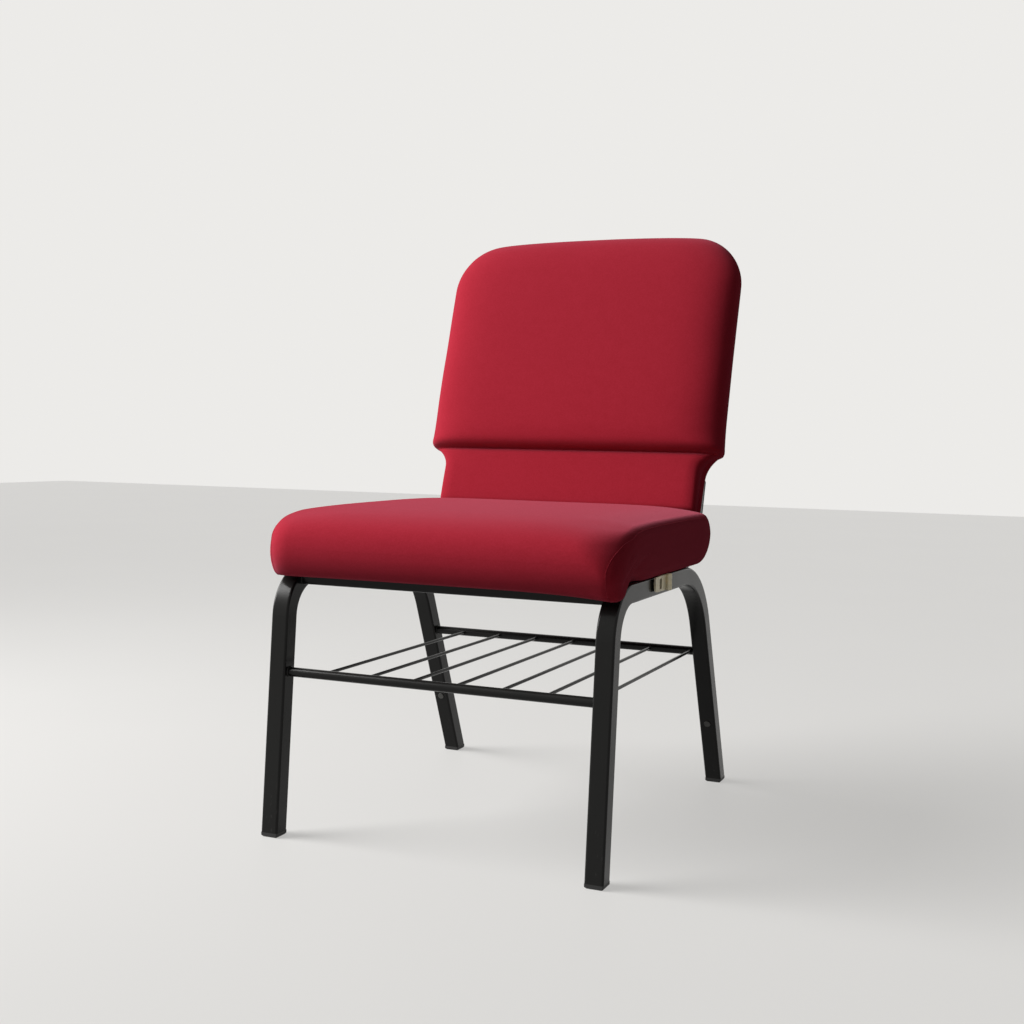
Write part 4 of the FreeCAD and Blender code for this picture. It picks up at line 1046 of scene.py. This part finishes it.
@dataclass
class BackCushion:
    """The back: one cover over a thick upper pad, a crease and a thinner lower back with a flared neck.

    Places in the back's own frame are x across, w ahead of the uprights' axis and u up the back. The face, as
    (w, u), runs from the bottom edge up to the top ridge, and the other profiles give a value for each u.
    """

    root_y: float = 147.0
    rail_z: float = 348.5
    recline_deg: float = 17.5
    face: Profile = (
        (19, 81), (26, 82), (29.6, 86), (30.4, 96), (30.6, 120), (30.5, 150), (30, 164), (27.5, 171),
        (22, 174), (26.5, 175.6), (36, 177.6), (43.5, 184), (47, 197), (49, 220), (50.8, 270), (51.4, 340),
        (51, 400), (49, 450), (45.5, 486), (39.5, 510), (31.5, 523.5), (22.5, 531), (13.75, 533))
    rear: Profile = (
        (81, 19), (81.6, 8), (83, 1.5), (86, -1), (110, -2.5), (130, -5.5), (146, -9.4), (162, -10.4),
        (172, -12.6), (180, -16.5), (192, -19.2), (210, -20.5), (420, -20.5), (470, -19), (500, -14.8),
        (517, -8.5), (527, -1), (531.6, 6.5), (533, 13.75))
    half: float = 247.5
    lower_half: float = 215.5
    wrap_half: float = 220.0
    neck_height: float = 36.0
    flare_power: float = 2.5
    wrap_power: int = 2
    wrap_rate: float = 2.0
    crease_u: float = 174.0
    top_u: float = 533.0
    corner: float = 80.0
    foot: float = 9.0
    squareness: Profile = ((81, 36), (140, 36), (160, 22), (176, 12), (200, 8.4), (450, 7.6), (533, 6.5))
    face_softness: Profile = ((81, 3), (160, 3), (190, 2), (533, 2))
    rear_softness: Profile = ((81, 4), (140, 5), (172, 5), (184, 3), (440, 2.8), (533, 2.2))
    top_crown: float = 8.0
    top_reach: float = 90.0
    face_reach: float = 0.93
    held_u: float = 145.0
    crease_hold: float = 5.0
    rows: int = 128
    face_count: int = 70
    side_count: int = 8

    def place(self, x: np.ndarray, w: np.ndarray, u: np.ndarray) -> np.ndarray:
        """Points of the chair for places in the back's frame: root + x X + w forward + u up.

        Args:
            x: places across.
            w: places ahead of the uprights' axis.
            u: heights up the back.

        Returns:
            The points, with x, y, z last.
        """
        lean = math.radians(self.recline_deg)
        y = self.root_y + u * math.sin(lean) - w * math.cos(lean)
        z = self.rail_z + u * math.cos(lean) + w * math.sin(lean)
        return np.stack(np.broadcast_arrays(x, y, z), axis=-1)

    def widths(self, u: np.ndarray) -> tuple[np.ndarray, np.ndarray]:
        """Half widths of the face and of the rear up the back.

        Below the crease each is its own half width plus a flare to the pad's waist, which falls off as a
        power of the distance left to the neck's end. Above it both are the pad's half width less its foot's
        and its top corners' quarter rounds.

        Args:
            u: heights up the back.

        Returns:
            The face's and the rear's half widths.
        """
        below = (self.crease_u - u) / self.neck_height
        waist = self.half - self.foot
        fall = np.clip(1.0 - below, 0.0, 1.0)
        flared = self.lower_half + (waist - self.lower_half) * fall**self.flare_power
        wrapped = self.wrap_half + (waist - self.wrap_half) * fall**self.wrap_power
        pad = self.half - draw_in(self.foot, np.maximum(u - self.crease_u, 0.0))
        pad = pad - draw_in(self.corner, np.maximum(self.top_u - u, 0.0))
        lower = below > 0.0
        return np.where(lower, flared, pad), np.where(lower, wrapped, pad)

    def grid(self) -> np.ndarray:
        """The back's points: rows up the back, columns round each slice.

        A slice is a superellipse |x / a|^p + |t|^q = 1 between the rear w at t = -1 and the face w at t = 1,
        with one q ahead of the middle and another behind it. Its front and rear runs step evenly in x up to a
        share of the half width, and its sides evenly in t. Near the top, points rise by a crown of
        c (1 - (x / a)^2).

        Returns:
            An array of rows, columns and x, y, z.
        """
        face = spline(np.array(self.face, float), self.rows)
        front, u = face[:, :1], np.maximum.accumulate(face[:, 1])[:, None]
        rear = np.interp(u, *np.array(self.rear).T)
        power = np.interp(u, *np.array(self.squareness).T)
        run = np.linspace(-self.face_reach, self.face_reach, self.face_count)[None, :]
        across, depth = [], []
        for way, softness in ((1.0, self.face_softness), (-1.0, self.rear_softness)):
            soft = np.interp(u, *np.array(softness).T)
            turn = (1.0 - self.face_reach**power) ** (1.0 / soft)
            step = turn * np.linspace(1.0, 0.0, self.side_count + 2)[None, 1:]
            reach = (1.0 - step**soft) ** (1.0 / power)
            crest = (1.0 - np.abs(run) ** power) ** (1.0 / soft)
            across.append([np.broadcast_to(run, crest.shape), reach])
            depth.append([way * crest, way * step])
        (face_x, face_turn), (_, rear_turn) = across
        (face_t, face_step), (rear_t, rear_step) = depth
        side_x = np.hstack([face_turn, rear_turn[:, -2::-1]])
        side_t = np.hstack([face_step, rear_step[:, -2::-1]])
        across = np.hstack([face_x, side_x, face_x[:, ::-1], -side_x[:, ::-1]])
        depth = np.hstack([face_t, side_t, rear_t, side_t[:, ::-1]])
        wide, wrapped = self.widths(u)
        share = ease(-self.wrap_rate * depth)
        x = across * (wide + (wrapped - wide) * share)
        crown = self.top_crown * (1.0 - (x / self.half) ** 2)
        crown = crown * ease((u - self.top_u + self.top_reach) / self.top_reach)
        return self.place(x, (front + rear) / 2.0 + depth * (front - rear) / 2.0, u + crown)

    def build(self, finish: Material) -> list[Piece]:
        """Make the back's cushion.

        Args:
            finish: the woven finish.

        Returns:
            The new piece.
        """
        grid = self.grid()
        rows, columns = grid.shape[:2]
        along = run_length(grid[:, self.face_count // 2])
        cover = Cover("back_cushion", grid, round_length(grid[rows // 2]), along, finish)
        u = spline(np.array(self.face, float), self.rows)[:, 1:]
        crease = np.exp(-((u - self.crease_u) / self.crease_hold) ** 2)
        held = np.maximum(np.where(u < self.held_u, 1.0, 0.0), crease)
        Cushioning().swell(cover, np.broadcast_to(held, (rows, columns)))
        subdivide(cover.piece)
        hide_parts("back_cover_lower", "back_cover_upper", "back_foam_lower", "back_foam_upper",
                    "back_neck_wrap")
        return [cover.piece]


@dataclass
class SeatLining:
    """The black lining under the seat, stretched between staples and sagging a little."""

    half: float = 180.0
    front_y: float = -220.0
    rear_y: float = 8.0
    z: float = 360.6
    sag: float = 2.5
    ripple: float = 0.35
    ripples: Span = (24.0, 16.0)
    ripple_reach: Span = (0.12, 0.08)
    counts: tuple[int, int] = (73, 47)

    def build(self, cloth: Material) -> list[Piece]:
        """A grid that hangs by sag (1 - a^2)(1 - b^2), with cosine ripples that fade in from the staples.

        Args:
            cloth: the lining's finish.

        Returns:
            The new piece.
        """
        a = np.linspace(-1.0, 1.0, self.counts[0])[None, :]
        b = np.linspace(-1.0, 1.0, self.counts[1])[:, None]
        edge = np.zeros((b.size, a.size))
        for along, inwards, ripples, reach in zip((a, b), (b, a), self.ripples, self.ripple_reach):
            edge = edge + np.exp(-(1.0 - np.abs(inwards)) / reach) * np.cos(ripples * math.pi * along)
        z = self.z - self.sag * (1.0 - a * a) * (1.0 - b * b) + self.ripple * (edge - 1.0)
        y = self.front_y + (self.rear_y - self.front_y) * (b + 1.0) / 2.0
        points = np.stack(np.broadcast_arrays(self.half * a, y, z), axis=-1)
        faces = grid_faces(b.size, a.size)[:, ::-1]
        piece = surface("seat_lining", points, faces, cloth)
        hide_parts("seat_dust_cover")
        return [piece]


@dataclass
class WeldBeads:
    """Weld beads where the frame's tubes, bars and wires meet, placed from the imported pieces' boxes."""

    rails: tuple[str, ...] = ("front_rail", "rear_rail")
    bars: tuple[str, ...] = ("rack_front_bar", "rack_rear_bar")
    wires: str = "rack_wires"
    wire_count: int = 7
    rail_bead: float = 1.6
    bar_bead: float = 1.5
    wire_bead: float = 1.0
    square_power: float = 9.0
    round_power: float = 2.0
    ripples: tuple[int, ...] = (3, 7, 14)
    wander: float = 0.22
    turn_count: int = 56
    section_count: int = 8
    seeds: tuple[int, int, int] = (3, 5, 8)

    def ends(self, names: tuple[str, ...]) -> tuple[np.ndarray, float]:
        """Both ends of pieces that lie along X.

        Args:
            names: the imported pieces.

        Returns:
            The ends' middles, one per row, and half the pieces' height.
        """
        boxes = np.array([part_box(name) for name in names]) / MM
        middles = boxes.mean(axis=1)
        ends = [np.column_stack([boxes[:, k, 0], middles[:, 1:]]) for k in (0, 1)]
        return np.vstack(ends), float(boxes[0, 1, 2] - boxes[0, 0, 2]) / 2.0

    def rings(self, centres: np.ndarray, along: Axis, half: float, power: float, bead: float,
              seed: int) -> tuple[np.ndarray, np.ndarray]:
        """Uneven rings of weld about an axis.

        The ring's line is r = half / (|cos|^p + |sin|^p)^(1/p), round at p = 2 and square at a high p. Its
        section is a circle whose radius wanders with the ripples of the weld pool.

        Args:
            centres: the rings' centres, one per row.
            along: the axis that the rings go round, X or Y.
            half: half the width of what is welded.
            power: how square the ring is.
            bead: radius of the bead.
            seed: seed of the ripples.

        Returns:
            The points and the quads of all the rings.
        """
        rng = np.random.default_rng(seed)
        turn, around = self.turn_count, self.section_count
        angle = np.linspace(0.0, 2.0 * math.pi, turn, endpoint=False)
        line = half / (np.abs(np.cos(angle)) ** power + np.abs(np.sin(angle)) ** power) ** (1.0 / power)
        phase = rng.uniform(0.0, 2.0 * math.pi, (len(centres), len(self.ripples)))
        waves = (np.sin(n * angle[None, :] + phase[:, k:k + 1]) for k, n in enumerate(self.ripples))
        ripple = sum(waves) / len(self.ripples)
        size = bead * (1.0 + self.wander * ripple)
        section = np.linspace(0.0, 2.0 * math.pi, around, endpoint=False)
        out = line[None, :, None] + size[:, :, None] * np.cos(section)
        axial = size[:, :, None] * np.sin(section)
        parts = [out * np.cos(angle)[None, :, None], out * np.sin(angle)[None, :, None]]
        parts.insert(along.value, axial)
        points = np.stack(parts, axis=-1) + centres[:, None, None, :]
        each = grid_faces(turn + 1, around, True) % (turn * around)
        offset = np.arange(len(centres))[:, None, None] * (turn * around)
        return points.reshape(-1, 3), (each[None] + offset).reshape(-1, 4)

    def build(self, coat: Material) -> list[Piece]:
        """Make the beads of rails, rack bars and rack wires.

        Args:
            coat: the frame's finish.

        Returns:
            The new pieces.
        """
        rails, rail_half = self.ends(self.rails)
        bars, bar_half = self.ends(self.bars)
        low, high = np.array(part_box(self.wires)) / MM
        wire_half = (high[2] - low[2]) / 2.0
        x = np.linspace(low[0] + wire_half, high[0] - wire_half, self.wire_count)
        faces = (bars[0, 1] + bar_half, bars[1, 1] - bar_half)
        joints = np.array([(place, y, low[2] + wire_half) for y in faces for place in x])
        welds = (
            ("rail_welds", (rails, Axis.X, rail_half, self.square_power, self.rail_bead)),
            ("rack_bar_welds", (bars, Axis.X, bar_half, self.round_power, self.bar_bead)),
            ("rack_wire_welds", (joints, Axis.Y, wire_half, self.round_power, self.wire_bead)),
        )
        pieces = []
        for (name, weld), seed in zip(welds, self.seeds):
            pieces.append(surface(name, *self.rings(*weld, seed), coat))
            turn_outwards(pieces[-1])
        return pieces


@dataclass
class Studio:
    """Camera, lamps, floor and world, with places in metres."""

    eye: Point = (0.747726, -1.778427, 0.540524)
    yaw_deg: float = 23.3705
    pitch_deg: float = 3.2659
    roll_deg: float = 1.0263
    lens: float = 46.237
    sensor: float = 36.0
    floor_half_m: float = 9.0
    floor_colour: Colour = (0.25, 0.249, 0.245)
    floor_shade: float = 0.97
    floor_clouds: float = 1.5
    floor_roughness: float = 0.6
    floor_gloss: float = 0.05
    floor_glow: float = 0.54
    backdrop_colour: Colour = (0.84, 0.83, 0.81)
    ambient: float = 0.11
    target: Point = (0.0, 0.0, 0.42)
    sky_towards: Point = (-0.80, -0.31, 0.58)
    sky_spread_deg: float = 40.0
    sky_strength: float = 2.75
    near_towards: Point = (-0.80, -0.36, 0.46)
    near_distance: float = 2.4
    near_size: float = 1.5
    near_watts: float = 59.0
    daylight: Colour = (1.0, 0.99, 0.98)

    def camera(self) -> None:
        """Place the camera at the photograph's angle and frame."""
        yaw, pitch, roll = (math.radians(a) for a in (self.yaw_deg, self.pitch_deg, self.roll_deg))
        ahead = Vector((-math.sin(yaw) * math.cos(pitch), math.cos(yaw) * math.cos(pitch), -math.sin(pitch)))
        right = Vector((math.cos(yaw), math.sin(yaw), 0.0))
        up = right.cross(ahead)
        side = right * math.cos(roll) + up * math.sin(roll)
        top = up * math.cos(roll) - right * math.sin(roll)
        data = bpy.data.cameras.new("photo_camera")
        data.sensor_width = self.sensor
        data.lens = self.lens
        eye = bpy.data.objects.new("photo_camera", data)
        turn = Matrix((side, top, -ahead)).transposed().to_4x4()
        eye.matrix_world = Matrix.Translation(Vector(self.eye)) @ turn
        bpy.context.scene.collection.objects.link(eye)
        bpy.context.scene.camera = eye

    def lamp(self, data: bpy.types.Light, towards: Point, distance: float) -> None:
        """Hang a lamp that shines at the chair.

        Args:
            data: the lamp's own settings.
            towards: direction from the chair to the lamp.
            distance: how far away it hangs, in metres.
        """
        data.color = self.daylight
        lamp = bpy.data.objects.new(data.name, data)
        away = Vector(towards).normalized()
        lamp.rotation_euler = away.to_track_quat("Z", "Y").to_euler()
        lamp.location = Vector(self.target) + away * distance
        bpy.context.scene.collection.objects.link(lamp)

    def daylight_lamps(self) -> None:
        """Light from one side: a wide far sky and a nearer round lamp that falls off across the chair."""
        sky = bpy.data.lights.new("sky", "SUN")
        sky.angle = math.radians(self.sky_spread_deg)
        sky.energy = self.sky_strength
        self.lamp(sky, self.sky_towards, self.near_distance)
        near = bpy.data.lights.new("near", "AREA")
        near.shape = "DISK"
        near.size = self.near_size
        near.energy = self.near_watts
        self.lamp(near, self.near_towards, self.near_distance)

    def floor(self) -> None:
        """Lay a plain pale floor."""
        shader = Shader("floor_pale")
        cloud = shader.noise(shader.pattern(Coordinates.OBJECT), self.floor_clouds, detail=2.0)
        shade = tuple(part * self.floor_shade for part in self.floor_colour)
        shader.join(shader.ramp(cloud, NOISE_MIDDLE, (shade, self.floor_colour)), "Base Color")
        path = shader.node("LightPath").outputs
        seen = shader.math("MAXIMUM", path["Is Camera Ray"], path["Is Glossy Ray"])
        seen = shader.math("MAXIMUM", seen, path["Is Transmission Ray"])
        shader.join(shader.math("MULTIPLY", seen, self.floor_glow), "Emission Strength")
        shader.set(Roughness=self.floor_roughness, Specular_IOR_Level=self.floor_gloss,
                   Emission_Color=self.backdrop_colour)
        corners = np.array([(-1.0, -1.0, 0.0), (1.0, -1.0, 0.0), (1.0, 1.0, 0.0), (-1.0, 1.0, 0.0)])
        corners = corners * self.floor_half_m / MM
        surface("floor", corners, np.array([[0, 1, 2, 3]]), shader.material)

    def world(self) -> None:
        """A pale surround for the camera and reflections, and a softer level of it as light."""
        world = bpy.data.worlds.new("surround")
        world.use_nodes = True
        bpy.context.scene.world = world
        nodes, links = world.node_tree.nodes, world.node_tree.links
        nodes.clear()
        path = nodes.new("ShaderNodeLightPath")
        seen = path.outputs["Is Camera Ray"]
        for key in ("Is Glossy Ray", "Is Transmission Ray"):
            either = nodes.new("ShaderNodeMath")
            either.operation = "MAXIMUM"
            links.new(seen, either.inputs[0])
            links.new(path.outputs[key], either.inputs[1])
            seen = either.outputs[0]
        mixed = nodes.new("ShaderNodeMixShader")
        links.new(seen, mixed.inputs[0])
        for socket, strength in ((mixed.inputs[1], self.ambient), (mixed.inputs[2], 1.0)):
            back = nodes.new("ShaderNodeBackground")
            back.inputs["Color"].default_value = (*self.backdrop_colour, 1.0)
            back.inputs["Strength"].default_value = strength
            links.new(back.outputs[0], socket)
        output = nodes.new("ShaderNodeOutputWorld")
        links.new(mixed.outputs[0], output.inputs["Surface"])

    def build(self) -> None:
        """Set up the camera, the floor, the world and the lamps."""
        self.camera()
        self.floor()
        self.world()
        self.daylight_lamps()
        bpy.context.scene.view_settings.view_transform = "Standard"


@dataclass
class FramePieces:
    """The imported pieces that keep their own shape, by finish."""

    coated: tuple[str, ...] = (
        "leg_frame_left", "leg_frame_right", "front_rail", "rear_rail", "back_upright_left",
        "back_upright_right", "back_lower_bar", "back_top_bar", "rack_front_bar", "rack_rear_bar",
        "rack_wires")
    moulded: tuple[str, ...] = (
        "glide_front_left", "glide_front_right", "glide_rear_left", "glide_rear_right")
    plugs: tuple[str, ...] = ("leg_plugs",)
    panels: tuple[str, ...] = ("back_outer_panel",)
    boards: tuple[str, ...] = ("seat_board", "back_board")
    plated: tuple[str, ...] = (
        "gang_hinge_bracket", "gang_link", "gang_hinge_pin", "gang_rivets", "gang_hook", "gang_hook_rivets")
    fixings: tuple[str, ...] = ("seat_tee_nuts", "seat_screws", "back_screws")
    plug_grey: Colour = (0.085, 0.084, 0.080)
    plug_worn: Colour = (0.13, 0.128, 0.12)
    panel_grain: float = 900.0

    def dress(self, coat: Material) -> None:
        """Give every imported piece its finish.

        Args:
            coat: the frame's powder coat, shared with the weld beads.
        """
        finishes = (
            (self.coated, coat),
            (self.moulded, MouldedPlastic("glide_plastic").make()),
            (self.plugs, MouldedPlastic("plug_plastic", self.plug_grey, self.plug_worn).make()),
            (self.panels, MouldedPlastic("panel_plastic", grain_scale=self.panel_grain).make()),
            (self.boards, Plywood().make()),
            (self.plated, PlatedZinc().make()),
            (self.fixings, PlatedSteel().make()),
        )
        for names, finish in finishes:
            for name in names:
                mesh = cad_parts[name].data
                mesh.materials.clear()
                mesh.materials.append(finish)
            LOG.info("dressed %s with %s", ", ".join(names), finish.name)


def main() -> None:
    """Build the studio, dress the frame and add the soft and welded pieces."""
    logging.basicConfig(level=logging.INFO, format="%(message)s")
    Studio().build()
    coat = PowderCoat().make()
    FramePieces().dress(coat)
    cover = WovenCover().make()
    thread = WovenCover(name="seam_thread", light=(0.42, 0.034, 0.055), deep=(0.30, 0.017, 0.029), thread=0.6,
                        coordinates=Coordinates.OBJECT).make()
    made = (
        ("cover_fabric", SeatCushion().build(cover, thread)),
        ("cover_fabric", BackCushion().build(cover)),
        ("dust_cloth", SeatLining().build(LiningCloth().make())),
        ("frame_paint", WeldBeads().build(coat)),
    )
    for slot, pieces in made:
        for piece in pieces:
            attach(piece, CHAIR)
            LOG.info("built %s: %d faces", piece.name, len(piece.data.polygons))


if __name__ == "__main__":
    main()
